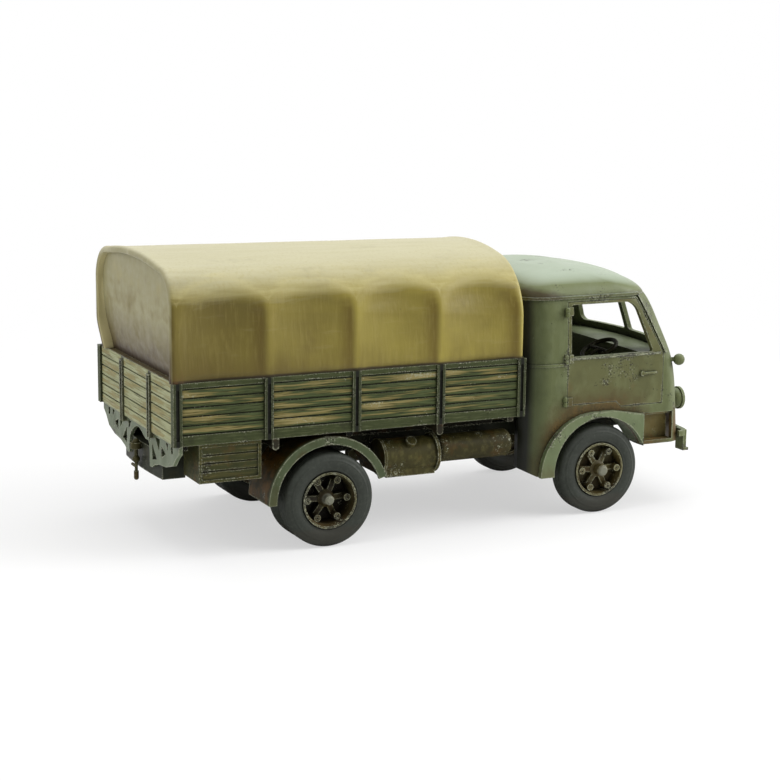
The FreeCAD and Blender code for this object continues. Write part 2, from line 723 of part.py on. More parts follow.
def cab_section(z, rear, front, half, rear_r, front_r, bow):
    """One level outline of the cab: round rear corners, round front corners, bowed nose."""
    rx, fx = rear + rear_r, front - front_r
    ry, fy = half - rear_r, half - front_r
    k = math.sqrt(0.5)
    return Part.Wire([
        arc(V(rear, ry, z), V(rx - rear_r * k, ry + rear_r * k, z), V(rx, half, z)),
        line(V(rx, half, z), V(fx, half, z)),
        arc(V(fx, half, z), V(fx + front_r * k, fy + front_r * k, z), V(front, fy, z)),
        arc(V(front, fy, z), V(front + bow, 0, z), V(front, -fy, z)),
        arc(V(front, -fy, z), V(fx + front_r * k, -fy - front_r * k, z), V(fx, -half, z)),
        line(V(fx, -half, z), V(rx, -half, z)),
        arc(V(rx, -half, z), V(rx - rear_r * k, -ry - rear_r * k, z), V(rear, -ry, z)),
        line(V(rear, -ry, z), V(rear, ry, z)),
    ])


def cab_loft(inset):
    """The cab's closed form up to the eaves, drawn in (or out) by a distance."""
    wires = []
    for z, ahead, side_in, front_r, bow in CAB_LEVELS:
        wires.append(cab_section(z, CAB_REAR + inset, FRONT_AXLE_X + ahead - inset,
                                 CAB_HALF - side_in - inset, CAB_REAR_ROUND - inset,
                                 front_r - inset, bow))
    return Part.makeLoft(wires, True, False)


def nose_ahead(z):
    """How far the flat of the nose stands ahead of the front axle at a height."""
    for low, high in zip(CAB_LEVELS, CAB_LEVELS[1:]):
        if z <= high[0]:
            return low[1] + (high[1] - low[1]) * (z - low[0]) / (high[0] - low[0])
    return CAB_LEVELS[-1][1]


def door_outline(gap):
    """The door seen from the side, drawn in all round by the gap."""
    x = FRONT_AXLE_X
    rear, front = x - DOOR_BEHIND + gap, x + DOOR_AHEAD - gap
    knee = x + DOOR_KNEE_AHEAD
    return [(rear, DOOR_OVER_WHEEL_Z + gap), (knee, DOOR_OVER_WHEEL_Z + gap),
            (knee + DOOR_KNEE_LONG, DOOR_LOW_Z + gap), (front, DOOR_LOW_Z + gap),
            (front, DOOR_SLOPE_Z), (x + DOOR_TOP_AHEAD - gap, DOOR_TOP_Z - gap),
            (rear, DOOR_TOP_Z - gap)]


def door_window():
    """The side window's opening seen from the side, round at its top front corner."""
    x = FRONT_AXLE_X
    corners = [(x - WINDOW_BEHIND, SILL_Z), (x - WINDOW_BEHIND, WINDOW_TOP_Z),
               (x + WINDOW_TOP_AHEAD, WINDOW_TOP_Z), (x + WINDOW_LOW_AHEAD, SILL_Z)]
    rounds = [WINDOW_ROUND, WINDOW_ROUND, WINDOW_FRONT_ROUND, WINDOW_ROUND]
    return rounded([V(a, -FAR, z) for a, z in corners], rounds, V(0, FAR, 0))


def windscreen_opening():
    """The right-hand half of the windscreen, with round corners."""
    x = FRONT_AXLE_X + DOOR_TOP_AHEAD
    corners = [(-SCREEN_POST_HALF, SCREEN_LOW_Z), (-SCREEN_LOW_OUT, SCREEN_LOW_Z),
               (-SCREEN_TOP_OUT, SCREEN_TOP_Z), (-SCREEN_POST_HALF, SCREEN_TOP_Z)]
    rounds = [SCREEN_INNER_ROUND, SCREEN_ROUND, SCREEN_ROUND, SCREEN_INNER_ROUND]
    return rounded([V(x, y, z) for y, z in corners], rounds, V(FAR, 0, 0))


def wheel_well(radius):
    """The round space for the right-hand front wheel."""
    return rod_y(FRONT_AXLE_X, AXLE_Z, -FAR, -FRONT_FACE_Y + TYRE_WIDTH + FENDER_INNER, radius)


def step_space():
    """The open corner over the right-hand boarding step."""
    return box(STEP_REAR, STEP_FRONT, -FAR, -CAB_HALF / 2.0, CAB_NOSE_Z + STEP_PLATE, STEP_TOP_Z)


def skirt_cut():
    """What is cut away below the cab to give its lower edge."""
    low, skirt = -FAR, CAB_REAR + SKIRT_LONG
    ramp = CAB_REAR + SKIRT_RAMP
    points = [(CAB_REAR - FAR, low), (CAB_REAR - FAR, CAB_SKIRT_Z + SKIRT_RAMP / 2.0),
              (CAB_REAR, CAB_SKIRT_Z + SKIRT_RAMP / 2.0), (ramp, CAB_SKIRT_Z), (skirt, CAB_SKIRT_Z),
              (skirt, CAB_NOSE_Z), (CAB_REAR + FAR, CAB_NOSE_Z), (CAB_REAR + FAR, low)]
    return prism_xz(points, -FAR, FAR)


def cab_wall():
    """The cab's outer wall as a closed ring, before doors and windows are cut."""
    return cab_loft(0.0).cut(cab_loft(CAB_WALL))


def screen_bead():
    """The thin moulding that runs down the screen pillar in front of the right-hand door."""
    x = FRONT_AXLE_X
    gap = DRIP_PROUD
    wide = DRIP_HIGH
    top = x + DOOR_TOP_AHEAD + gap
    foot = x + DOOR_AHEAD + gap
    band = prism_xz([(top, CAB_EAVE_Z), (top + wide, CAB_EAVE_Z), (foot + wide, DOOR_SLOPE_Z),
                     (foot, DOOR_SLOPE_Z)], -FAR, -SCREEN_TOP_OUT)
    return cab_loft(-DRIP_PROUD).cut(cab_loft(0.0)).common(band)


def belt_bead():
    """The low ridge round the cab's rear corners at the foot of the windows."""
    ring = cab_loft(-BELT_PROUD).cut(cab_loft(0.0))
    return ring.common(box(CAB_REAR - FAR, FRONT_AXLE_X - DOOR_BEHIND - DRIP_PROUD, -FAR, FAR,
                           BELT_Z - BELT_HIGH / 2.0, BELT_Z + BELT_HIGH / 2.0))


def cab_body():
    """The cab's shell with doorways, windscreen halves, wheel arches and step corners."""
    bead = screen_bead()
    wall = joined([cab_wall(), belt_bead(), bead, other_side(bead)])
    cuts = [skirt_cut()]
    door = prism_xz(door_outline(0.0), -FAR, -CAB_HALF / 2.0)
    screen = windscreen_opening()
    half = ARM_HALF + ARM_CLEAR
    arm_z = BUMPER_TOP_Z - BUMPER_DEEP / 2.0
    arm = box(FRONT_AXLE_X + DOOR_AHEAD, FRONT_AXLE_X + FAR, -RAIL_Y - half, -RAIL_Y + half,
              -FAR, arm_z + half)
    for cut in (door, screen, wheel_well(ARCH_RADIUS), step_space(), arm):
        cuts += [cut, other_side(cut)]
    open_half = CAB_HALF - BACK_PILLAR
    cuts.append(box(CAB_REAR - CAB_GAP, CAB_REAR + CAB_WALL + DOOR_GAP, -open_half, open_half,
                    -FAR, CAB_FLOOR_Z - DOOR_GAP))
    return wall.cut(cuts)


def door_hinges():
    """Short upright hinge pads on the door's rear edge, which follow the cab's side."""
    ring = cab_loft(-HINGE_PROUD).cut(cab_loft(0.0))
    x0 = FRONT_AXLE_X - DOOR_BEHIND + DOOR_GAP
    pads = []
    for z in HINGE_LEVELS:
        pads.append(ring.common(box(x0, x0 + HINGE_WIDE, -FAR, -CAB_HALF / 2.0,
                                    z - HINGE_LONG / 2.0, z + HINGE_LONG / 2.0)))
    return pads


def door_handle():
    """The handle: a round boss and a thin bar that points forward."""
    x = FRONT_AXLE_X + DOOR_AHEAD - HANDLE_BEHIND_EDGE
    boss = rod_y(x, HANDLE_Z, -CAB_HALF - HANDLE_PROUD, -CAB_HALF + CAB_WALL / 2.0, HANDLE_HIGH)
    bar = rod_x(-CAB_HALF - HANDLE_PROUD + HANDLE_HIGH / 2.0, HANDLE_Z, x, x + HANDLE_LONG,
                HANDLE_HIGH / 2.0)
    return boss.fuse(bar)


def cab_door():
    """The right-hand door, cut from the same wall, with its window open."""
    door = cab_wall().common(prism_xz(door_outline(DOOR_GAP), -FAR, -CAB_HALF / 2.0))
    door = door.cut(door_window())
    return joined([door] + door_hinges() + [door_handle()])


def cab_roof():
    """The domed roof with a drip moulding along its sides and back."""
    z0, ahead, side_in, front_r, bow = CAB_LEVELS[-1]
    front = FRONT_AXLE_X + ahead
    half = CAB_HALF - side_in

    def dome(inset):
        wires = []
        for rise, back, side, rear, rear_r, round_r, nose in ROOF_LEVELS:
            wires.append(cab_section(z0 + rise - inset, CAB_REAR + inset + rear,
                                     front - inset - back, half - inset - side,
                                     rear_r - inset, round_r - inset, nose))
        return Part.makeLoft(wires, True, False)

    lip = cab_section(z0, CAB_REAR - DRIP_PROUD, front + DRIP_PROUD, half + DRIP_PROUD,
                      CAB_REAR_ROUND, front_r, bow)
    drip = Part.Face(lip).extrude(V(0, 0, DRIP_HIGH))
    drip = drip.cut(box(FRONT_AXLE_X + DRIP_AHEAD, FRONT_AXLE_X + FAR, -FAR, FAR, -FAR, FAR))
    return dome(0.0).fuse(drip).cut(dome(CAB_WALL)).removeSplitter()


def cab_floor():
    """The floor plate inside the shell, over the frame."""
    slab = box(CAB_REAR - FAR, CAB_REAR + FAR, -FAR, FAR, CAB_FLOOR_Z, CAB_FLOOR_Z + CAB_FLOOR_THICK)
    return cab_loft(CAB_WALL).common(slab)


def cab_seat():
    """The bench seat with its back against the rear wall."""
    z0 = CAB_FLOOR_Z + CAB_FLOOR_THICK
    x0 = CAB_REAR + CAB_WALL
    front = FRONT_AXLE_X - SEAT_FRONT_BEHIND
    base = box(x0 + SEAT_BACK_THICK / 2.0, front, -SEAT_HALF, SEAT_HALF, z0, z0 + SEAT_HIGH)
    back = box(x0, x0 + SEAT_BACK_THICK, -SEAT_BACK_HALF, SEAT_BACK_HALF, z0, z0 + SEAT_BACK_HIGH)
    return joined([base, back])


def dashboard():
    """The dash shelf below the windscreen and the panel that hangs from it."""
    inner = cab_loft(CAB_WALL + DASH_SIDE)
    x0 = FRONT_AXLE_X + DASH_AHEAD
    shelf = inner.common(box(x0, x0 + FAR, -FAR, FAR, DASH_TOP_Z - DASH_SHELF, DASH_TOP_Z))
    panel = inner.common(box(x0, x0 + DASH_PANEL, -FAR, FAR, DASH_PANEL_LOW_Z, DASH_TOP_Z))
    return joined([shelf, panel]).cut(steering_column(COLUMN_RADIUS + BORE_PLAY))


def column_ends():
    """The steering column's foot in the floor and the steering wheel's hub."""
    y = -CAB_HALF + STEERING_IN
    foot = V(FRONT_AXLE_X + COLUMN_FOOT_AHEAD, y, CAB_FLOOR_Z + CAB_FLOOR_THICK / 2.0)
    return foot, V(FRONT_AXLE_X + COLUMN_HUB_AHEAD, y, COLUMN_HUB_Z)


def steering_column(radius):
    """A round bar from the floor to the steering wheel's hub."""
    foot, hub = column_ends()
    return Part.makeCylinder(radius, (hub - foot).Length, foot, hub - foot)


def steering_wheel():
    """The steering wheel and its column, on the right-hand side."""
    foot, hub = column_ends()
    along = hub - foot
    across = V(0, 1, 0)
    under = V(along).normalize().cross(across)
    r = STEERING_RADIUS
    spokes = [Part.makeCylinder(STEERING_SPOKE, 2 * r, hub - across * r, across),
              Part.makeCylinder(STEERING_SPOKE, r, hub, under)]
    wheel = Part.makeTorus(r, STEERING_RIM, hub, along)
    return steering_column(COLUMN_RADIUS).fuse([wheel] + spokes).cut(cab_floor())


def front_fender():
    """The right-hand wheel arch: a flared face outside the cab and a lining behind it."""
    x, z = FRONT_AXLE_X, AXLE_Z
    outside = -CAB_HALF - FENDER_OUT
    inside = -CAB_HALF + FENDER_INNER
    outer = rod_y(x - FENDER_SHIFT, z - FENDER_DROP, outside, inside, FENDER_WIDE)
    ahead = prism_xz([(x, CAB_NOSE_Z), (x, FENDER_TOP_Z), (x + FENDER_CREST, FENDER_TOP_Z),
                      (STEP_REAR, FENDER_FRONT_Z), (STEP_REAR, CAB_NOSE_Z)], outside, inside)
    well = wheel_well(ARCH_RADIUS)
    face = outer.fuse(ahead)
    face = face.cut([box(x - FAR, x + FAR, -FAR, FAR, -FAR, CAB_SKIRT_Z),
                     box(STEP_REAR, x + FAR, -FAR, FAR, -FAR, FAR),
                     box(x, x + FAR, -FAR, FAR, -FAR, CAB_NOSE_Z), well])
    wall = cab_loft(0.0).cut(cab_loft(CAB_WALL)).cut([well, skirt_cut(), step_space()])
    lining = rod_y(x, z, -FAR, 0, ARCH_RADIUS + FENDER_LINING)
    beyond = box(x - FAR, x + FAR, -FAR, -CAB_HALF, -FAR, FAR)
    face = face.common(beyond.fuse(lining)).cut(wall)
    return sorted(face.Solids, key=lambda solid: solid.Volume)[-1]


def cab_step():
    """The right-hand boarding step: a tray, the wall behind it and a cap under the cab."""
    y1 = -CAB_HALF + STEP_DEEP
    z0 = CAB_NOSE_Z
    y0 = -CAB_HALF
    back = box(STEP_REAR, STEP_FRONT, y1 - STEP_WALL, y1, z0, STEP_TOP_Z)
    tray = box(STEP_REAR, STEP_FRONT, y0, y1, z0, z0 + STEP_PLATE)
    cap = box(STEP_REAR, STEP_FRONT, y0, y1, STEP_TOP_Z - STEP_WALL, STEP_TOP_Z)
    inside = cab_loft(CAB_WALL)
    return joined([back, tray, cap]).common(inside)


def headlamp():
    """A round headlamp before the nose, turned about its own axis: bowl, rim and set-in lens."""
    y, z, r = -CAB_HALF + HEADLAMP_IN, HEADLAMP_Z, HEADLAMP_RADIUS
    face = FRONT_AXLE_X + nose_ahead(z) + HEADLAMP_PROUD
    back = face - HEADLAMP_LONG
    rim = face - HEADLAMP_RIM
    inner = r - HEADLAMP_RIM / 2.0
    lens = face - HEADLAMP_RIM / 2.0
    at = [V(back, y, z), V(rim, y, z + inner), V(rim, y, z + r), V(face, y, z + r),
          V(face, y, z + inner), V(lens, y, z + inner), V(lens, y, z)]
    middle = V(back + (rim - back) * 0.3, y, z + inner * 0.75)
    edges = [arc(at[0], middle, at[1])] + [line(a, b) for a, b in zip(at[1:], at[2:] + at[:1])]
    stalk = rod_x(y, z, back - HEADLAMP_LONG, back + HEADLAMP_RIM, r / 3.0)
    return turned_x(edges, y, z).fuse(stalk).cut(cab_loft(0.0)).removeSplitter()


def marker_lamp():
    """A ball lamp on a short stalk at the foot of the screen pillar."""
    ball_at = V(FRONT_AXLE_X + MARKER_AHEAD, -CAB_HALF + MARKER_OUT, MARKER_Z)
    root = ball_at - V(MARKER_ROOT_BACK, -MARKER_ROOT_IN, 0)
    along = ball_at - root
    stalk = Part.makeCylinder(MARKER_STALK, along.Length, root, along)
    return Part.makeSphere(MARKER_RADIUS, ball_at).fuse(stalk).cut(cab_loft(0.0))


def bumper():
    """The bowed bar across the nose with rounded ends, flat legs and two arms to the frame."""
    half, end = BUMPER_HALF, BUMPER_END
    z1 = BUMPER_TOP_Z
    z0 = z1 - BUMPER_DEEP

    def rail(offset):
        """Front or back line of the bar, from the right-hand end to the left-hand end."""
        x, tip, y = BUMPER_X - offset, half - offset, half - end
        k = (end - offset) * (1.0 - math.sqrt(0.5))
        back = x - end + offset
        return [arc(V(back, -tip, z0), V(x - k, -tip + k, z0), V(x, -y, z0)),
                arc(V(x, -y, z0), V(x + BUMPER_BOW, 0, z0), V(x, y, z0)),
                arc(V(x, y, z0), V(x - k, tip - k, z0), V(back, tip, z0))]

    front, rear = rail(0.0), rail(BUMPER_THICK)
    x_end = BUMPER_X - end
    ends = [line(V(x_end, s * half, z0), V(x_end, s * (half - BUMPER_THICK), z0)) for s in (-1, 1)]
    outline = Part.Wire(Part.__sortEdges__(front + rear + ends))
    pieces = [Part.Face(outline).extrude(V(0, 0, BUMPER_DEEP))]
    arm_z = (z0 + z1) / 2.0
    for side in (-1, 1):
        y0, y1 = sorted((side * (half - BUMPER_LEG - BUMPER_THICK), side * (half - BUMPER_THICK)))
        x1 = BUMPER_X - BUMPER_THICK / 2.0
        x0 = x1 - BUMPER_THICK
        pieces.append(box(x0, x1, y0, y1, BUMPER_LEG_LOW_Z, z1))
        pieces.append(box(x0, x1 + BUMPER_FOOT, y0, y1, BUMPER_LEG_LOW_Z,
                          BUMPER_LEG_LOW_Z + BUMPER_FOOT))
        y = side * RAIL_Y
        pieces.append(box(RAIL_FRONT - 2 * ARM_HALF, BUMPER_X + BUMPER_BOW / 2.0, y - ARM_HALF,
                          y + ARM_HALF, arm_z - ARM_HALF, arm_z + ARM_HALF))
        pieces.append(box(RAIL_FRONT - 2 * ARM_HALF, RAIL_FRONT, y - ARM_HALF, y + ARM_HALF,
                          arm_z + ARM_HALF, RAIL_LOW))
    return joined(pieces)


def grille():
    """The radiator grille on the nose: a frame with level slats, shaped to the nose."""
    outline = [(-GRILLE_HALF_LOW, GRILLE_LOW_Z), (GRILLE_HALF_LOW, GRILLE_LOW_Z),
               (GRILLE_HALF_TOP, GRILLE_TOP_Z), (-GRILLE_HALF_TOP, GRILLE_TOP_Z)]
    f = GRILLE_FRAME
    inside = [(-GRILLE_HALF_LOW + f, GRILLE_LOW_Z + f), (GRILLE_HALF_LOW - f, GRILLE_LOW_Z + f),
              (GRILLE_HALF_TOP - f, GRILLE_TOP_Z - f), (-GRILLE_HALF_TOP + f, GRILLE_TOP_Z - f)]
    x0, x1 = FRONT_AXLE_X + DASH_AHEAD, FRONT_AXLE_X + FAR
    skin = cab_loft(0.0)
    proud = cab_loft(-GRILLE_PROUD).cut(skin)
    frame = proud.common(prism_yz(outline, x0, x1).cut(prism_yz(inside, x0, x1)))
    back = cab_loft(-GRILLE_BACK / 2.0).cut(skin).common(prism_yz(outline, x0, x1))
    slats = []
    for z in joints_between(GRILLE_LOW_Z + f, GRILLE_TOP_Z - f, GRILLE_SLATS + 1)[1:-1]:
        slats.append(box(x0, x1, -GRILLE_HALF_TOP, GRILLE_HALF_TOP,
                         z - GRILLE_SLAT / 2.0, z + GRILLE_SLAT / 2.0))
    bars = proud.common(prism_yz(inside, x0, x1)).common(Part.makeCompound(slats))
    return joined([frame, back] + bars.Solids)


# Frame, axles and springs

def rear_block():
    """The frame's rear cross member: a deep block with a shallow pointed rear face."""
    x0, x1 = RAIL_REAR, RAIL_REAR + REAR_BLOCK_LONG
    outline = [V(x0, RAIL_OUT, REAR_BLOCK_LOW_Z), V(x0 - REAR_BLOCK_NOSE, 0, REAR_BLOCK_LOW_Z),
               V(x0, -RAIL_OUT, REAR_BLOCK_LOW_Z)]
    back = arc(*outline)
    sides = [line(outline[2], V(x1, -RAIL_OUT, REAR_BLOCK_LOW_Z)),
             line(V(x1, -RAIL_OUT, REAR_BLOCK_LOW_Z), V(x1, RAIL_OUT, REAR_BLOCK_LOW_Z)),
             line(V(x1, RAIL_OUT, REAR_BLOCK_LOW_Z), outline[0])]
    return Part.Face(Part.Wire([back] + sides)).extrude(V(0, 0, RAIL_TOP - REAR_BLOCK_LOW_Z))


def chassis():
    """Two long rails, their cross members, the rear block and the cab's mounting blocks."""
    pieces = [rear_block()]
    for side in (-1, 1):
        y = side * RAIL_Y
        pieces.append(box(RAIL_REAR + REAR_BLOCK_LONG / 2.0, RAIL_FRONT, y - RAIL_WIDTH / 2.0,
                          y + RAIL_WIDTH / 2.0, RAIL_LOW, RAIL_TOP))
    start, end = RAIL_REAR + REAR_BLOCK_LONG, RAIL_FRONT - CROSS_WIDE
    for i in range(CROSS_COUNT):
        x = start + (end - start) * (i + 1) / CROSS_COUNT - CROSS_WIDE
        pieces.append(box(x, x + CROSS_WIDE, -RAIL_Y, RAIL_Y, RAIL_LOW + CROSS_IN, RAIL_TOP - CROSS_IN))
    for x in (FRONT_AXLE_X - MOUNT_BEHIND, FRONT_AXLE_X + MOUNT_AHEAD):
        pieces.append(box(x, x + MOUNT_LONG, -RAIL_OUT, RAIL_OUT, RAIL_TOP, CAB_FLOOR_Z))
    return joined(pieces)


def leaf(x, y, z, reach, lift):
    """One spring leaf: a curved strip that is lowest over the axle."""
    y0 = y - SPRING_HALF
    edges = []
    for rise in (0.0, SPRING_LEAF):
        edges.append(arc(V(x - reach, y0, z + lift + rise), V(x, y0, z + rise),
                         V(x + reach, y0, z + lift + rise)))
    for end in (-1, 1):
        edges.append(line(V(x + end * reach, y0, z + lift),
                          V(x + end * reach, y0, z + lift + SPRING_LEAF)))
    outline = Part.Wire(Part.__sortEdges__(edges))
    return Part.Face(outline).extrude(V(0, 2 * SPRING_HALF, 0))


def spring_pack(x, reach, z_seat):
    """The right-hand leaf spring over an axle, with its seat and the hangers below the rail."""
    y = -RAIL_Y
    pieces = [box(x - SPRING_HALF, x + SPRING_HALF, y - SPRING_HALF, y + SPRING_HALF,
                  z_seat, z_seat + SPRING_LEAF * SPRING_LEAVES)]
    for i in range(SPRING_LEAVES):
        share = (i + 1.0) / SPRING_LEAVES
        pieces.append(leaf(x, y, z_seat + SPRING_LEAF * i, reach * share, SPRING_RISE * share ** 2))
    top = z_seat + SPRING_LEAF * (SPRING_LEAVES - 1) + SPRING_RISE
    for end in (-1, 1):
        xe = x + end * (reach - SPRING_HALF)
        pieces.append(box(xe - SPRING_HALF, xe + SPRING_HALF, y - SPRING_HALF, y + SPRING_HALF,
                          top - SPRING_LEAF, RAIL_LOW))
    return joined(pieces)


def front_axle():
    """The beam, lower between the springs, with a kingpin boss and a spindle at each end."""
    x, z, h = FRONT_AXLE_X, AXLE_Z, BEAM_HALF
    out = FRONT_FACE_Y - TYRE_WIDTH - KINGPIN_RADIUS * 2.0
    low = RAIL_Y - SPRING_HALF * 2.0
    half = [(out, z - h), (out, z + h), (RAIL_Y - SPRING_HALF, z + h), (low, z + h - BEAM_DROP)]
    under = [(low, z - h - BEAM_DROP), (RAIL_Y - SPRING_HALF, z - h - BEAM_DROP / 2.0)]
    outline = half + [(-y, w) for y, w in reversed(half)]
    outline += [(-y, w) for y, w in reversed(under)] + under
    pieces = [prism_yz(outline, x - h, x + h)]
    for side in (-1, 1):
        pieces.append(rod_z(x, side * out, z - KINGPIN_HALF, z + KINGPIN_HALF, KINGPIN_RADIUS))
        y0, y1 = sorted((side * out, side * (FRONT_FACE_Y - HUB_RADIUS)))
        pieces.append(rod_y(x, z, y0, y1, SPINDLE_RADIUS))
    return joined(pieces)


def rear_axle():
    """The driven axle: a round casing with brake drums, a bowl and a spindle at each end."""
    x, z = REAR_AXLE_X, AXLE_Z
    drum_y = REAR_INNER_FACE_Y - TYRE_WIDTH
    reach = drum_y - BORE_PLAY * 2.0
    tip = REAR_FACE_Y - REAR_DISH + DISC_THICK
    half = [(CASE_RADIUS, 0.0), (CASE_RADIUS, reach - DRUM_LONG), (DRUM_RADIUS, reach - DRUM_LONG),
            (DRUM_RADIUS, reach - DRUM_LONG / 4.0), (SPINDLE_RADIUS, reach), (SPINDLE_RADIUS, tip),
            (0.0, tip)]
    profile = [(r, -y) for r, y in reversed(half[1:])] + half[1:]
    return turned_y(profile, x, z).fuse(Part.makeSphere(BOWL_RADIUS, V(x, 0, z))).removeSplitter()


def drive_shaft():
    """The shaft that runs down to the rear axle."""
    start = V(REAR_AXLE_X, 0, AXLE_Z)
    end = V(CAB_REAR, 0, SHAFT_TOP_Z)
    along = end - start
    return Part.makeCylinder(SHAFT_RADIUS, along.Length, start, along).cut(rear_axle())


# Wheels

def tyre(x, z, y_out):
    """A right-hand tyre turned from its section: beads, bulged walls, round shoulders, tread."""
    r0, r1, w, s = RIM_RADIUS, TYRE_RADIUS, TYRE_WIDTH, TYRE_SHOULDER
    bead = TYRE_BEAD_IN
    wall = (r0 + r1) / 2.0

    def at(radius, inward):
        return V(x + radius, -y_out + inward, z)

    edges = []
    for face, turn in ((0.0, 1.0), (w, -1.0)):
        low = at(r0, face + turn * bead)
        hip = at(r1 - s, face + turn * bead / 2.0)
        crown = at(r1, face + turn * (s + bead / 2.0))
        k = s * (1.0 - math.sqrt(0.5))
        edges.append(arc(low, at(wall, face), hip))
        edges.append(arc(hip, at(r1 - k, face + turn * (bead / 2.0 + k)), crown))
    edges.append(line(at(r1, s + bead / 2.0), at(r1, w - s - bead / 2.0)))
    edges.append(line(at(r0, bead), at(r0, w - bead)))
    outline = Part.Wire(Part.__sortEdges__(edges))
    return Part.Face(outline).revolve(V(x, 0, z), V(0, 1, 0), 360)


def rim(x, z, y_out, depth):
    """A wheel's thin raised ring and the barrel behind it."""
    r, y = RIM_RADIUS, -y_out
    wall = r - RIM_WALL
    return turned_y([(r, y), (r - RIM_RING, y), (wall, y + RIM_SLOPE), (wall, y + depth),
                     (r, y + depth)], x, z)


def spokes_and_lugs(x, z, hub_y, rim_y, lug_y, disc_y):
    """Six arms that slope from hub to rim, each with a round lug that has a dimple."""
    end = RIM_RADIUS - RIM_WALL / 2.0
    pieces = []
    for i in range(SPOKES):
        arm = prism_xy([(HUB_RADIUS / 2.0, hub_y), (LUG_RING, (hub_y + rim_y) / 2.0), (end, rim_y),
                        (end, disc_y), (HUB_RADIUS / 2.0, disc_y)], SPOKE_HALF)
        lug = rod_y(LUG_RING, 0, lug_y, disc_y, LUG_RADIUS)
        lug = lug.cut(rod_y(LUG_RING, 0, lug_y - LUG_DIMPLE, lug_y + LUG_DIMPLE, LUG_DIMPLE))
        arm = arm.fuse(lug)
        arm.rotate(V(0, 0, 0), V(0, 1, 0), 360.0 / SPOKES * i)
        arm.translate(V(x, 0, z))
        pieces.append(arm)
    return pieces


def prism_xy(points, half):
    """A flat outline seen from above, as thick as twice the half value, about the level z = 0."""
    corners = [V(x, y, -half) for x, y in points]
    return Part.Face(Part.makePolygon(corners + corners[:1])).extrude(V(0, 0, 2 * half))


def front_wheel():
    """The right-hand front wheel: rim, six spokes with lugs, hub and a domed cap."""
    x, z, y = FRONT_AXLE_X, AXLE_Z, -FRONT_FACE_Y
    disc_y = y + FRONT_DISH
    disc = turned_y([(0, disc_y), (RIM_RADIUS - RIM_WALL / 2.0, disc_y),
                     (RIM_RADIUS - RIM_WALL / 2.0, disc_y + DISC_THICK), (0, disc_y + DISC_THICK)], x, z)
    cap, proud = FRONT_CAP_RADIUS, FRONT_CAP_PROUD
    inner = y + TYRE_WIDTH + BORE_PLAY * 2.0
    hub = turned_y([(0, y - proud), (cap * 0.6, y - proud), (cap, y - proud + cap / 3.0),
                    (cap, y + cap / 2.0), (HUB_RADIUS, y + HUB_RADIUS / 2.0), (HUB_RADIUS, inner),
                    (0, inner)], x, z)
    arms = spokes_and_lugs(x, z, y + HUB_RADIUS / 2.0, y + RIM_SLOPE * 2.0, y, disc_y)
    bore = rod_y(x, z, y + HUB_RADIUS - BORE_PLAY, y + FAR, SPINDLE_RADIUS + BORE_PLAY)
    return joined([rim(x, z, FRONT_FACE_Y, TYRE_WIDTH - TYRE_BEAD_IN), disc, hub] + arms).cut(bore)


def rear_wheel():
    """The right-hand twin wheel: one deep dish under two tyres, with spokes, lugs and a cap."""
    x, z, y = REAR_AXLE_X, AXLE_Z, -REAR_FACE_Y
    deep = 2 * TYRE_WIDTH + TWIN_GAP
    disc_y = y + REAR_DISH
    disc = turned_y([(0, disc_y), (RIM_RADIUS - RIM_WALL / 2.0, disc_y),
                     (RIM_RADIUS - RIM_WALL / 2.0, disc_y + DISC_THICK), (0, disc_y + DISC_THICK)], x, z)
    cap = REAR_CAP_RADIUS
    hub = turned_y([(0, y), (cap * 0.6, y), (cap, y + cap / 3.0), (cap, y + REAR_LUG_IN),
                    (HUB_RADIUS, y + REAR_LUG_IN + HUB_RADIUS / 2.0), (HUB_RADIUS, y + deep),
                    (0, y + deep)], x, z)
    arms = spokes_and_lugs(x, z, y + REAR_LUG_IN + HUB_RADIUS / 2.0, y + REAR_DISH - DISC_THICK,
                           y + REAR_LUG_IN, disc_y)
    bore = rod_y(x, z, y + REAR_DISH - DISC_THICK - BORE_PLAY, y + FAR, SPINDLE_RADIUS + BORE_PLAY)
    return joined([rim(x, z, REAR_FACE_Y, deep - TYRE_BEAD_IN), disc, hub] + arms).cut(bore)


# Mudguards, tool box and tanks

def rear_mudguard():
    """A half-round strip over the twin wheel with a turned lip outside and a stay to the frame."""
    x, z, r = REAR_AXLE_X, AXLE_Z, GUARD_RADIUS
    y0 = GUARD_Y
    y1 = y0 + GUARD_WIDE
    strip = rod_y(x, z, y0, y1, r).cut(rod_y(x, z, y0, y1, r - GUARD_THICK))
    lip = rod_y(x, z, y0, y0 + GUARD_LIP_WIDE, r).cut(
        rod_y(x, z, y0, y0 + GUARD_LIP_WIDE, r - GUARD_LIP))
    low = prism_xz([(x - 2 * r, z - 2 * r), (x - 2 * r, z), (x, z),
                    (x + 2 * r, z + 2 * GUARD_FRONT_CUT), (x + 2 * r, z - 2 * r)], -FAR, 0)
    s = GUARD_STAY
    top = GUARD_STAY_Z + GUARD_STAY_HIGH
    stay = box(x - s, x + s, y1 - s, -RAIL_OUT, GUARD_STAY_Z, top)
    reach = box(x - s, x + s, y1 - s, y1, GUARD_STAY_Z, z + r - GUARD_THICK / 2.0)
    return joined([strip.fuse(lip).cut(low), stay, reach])


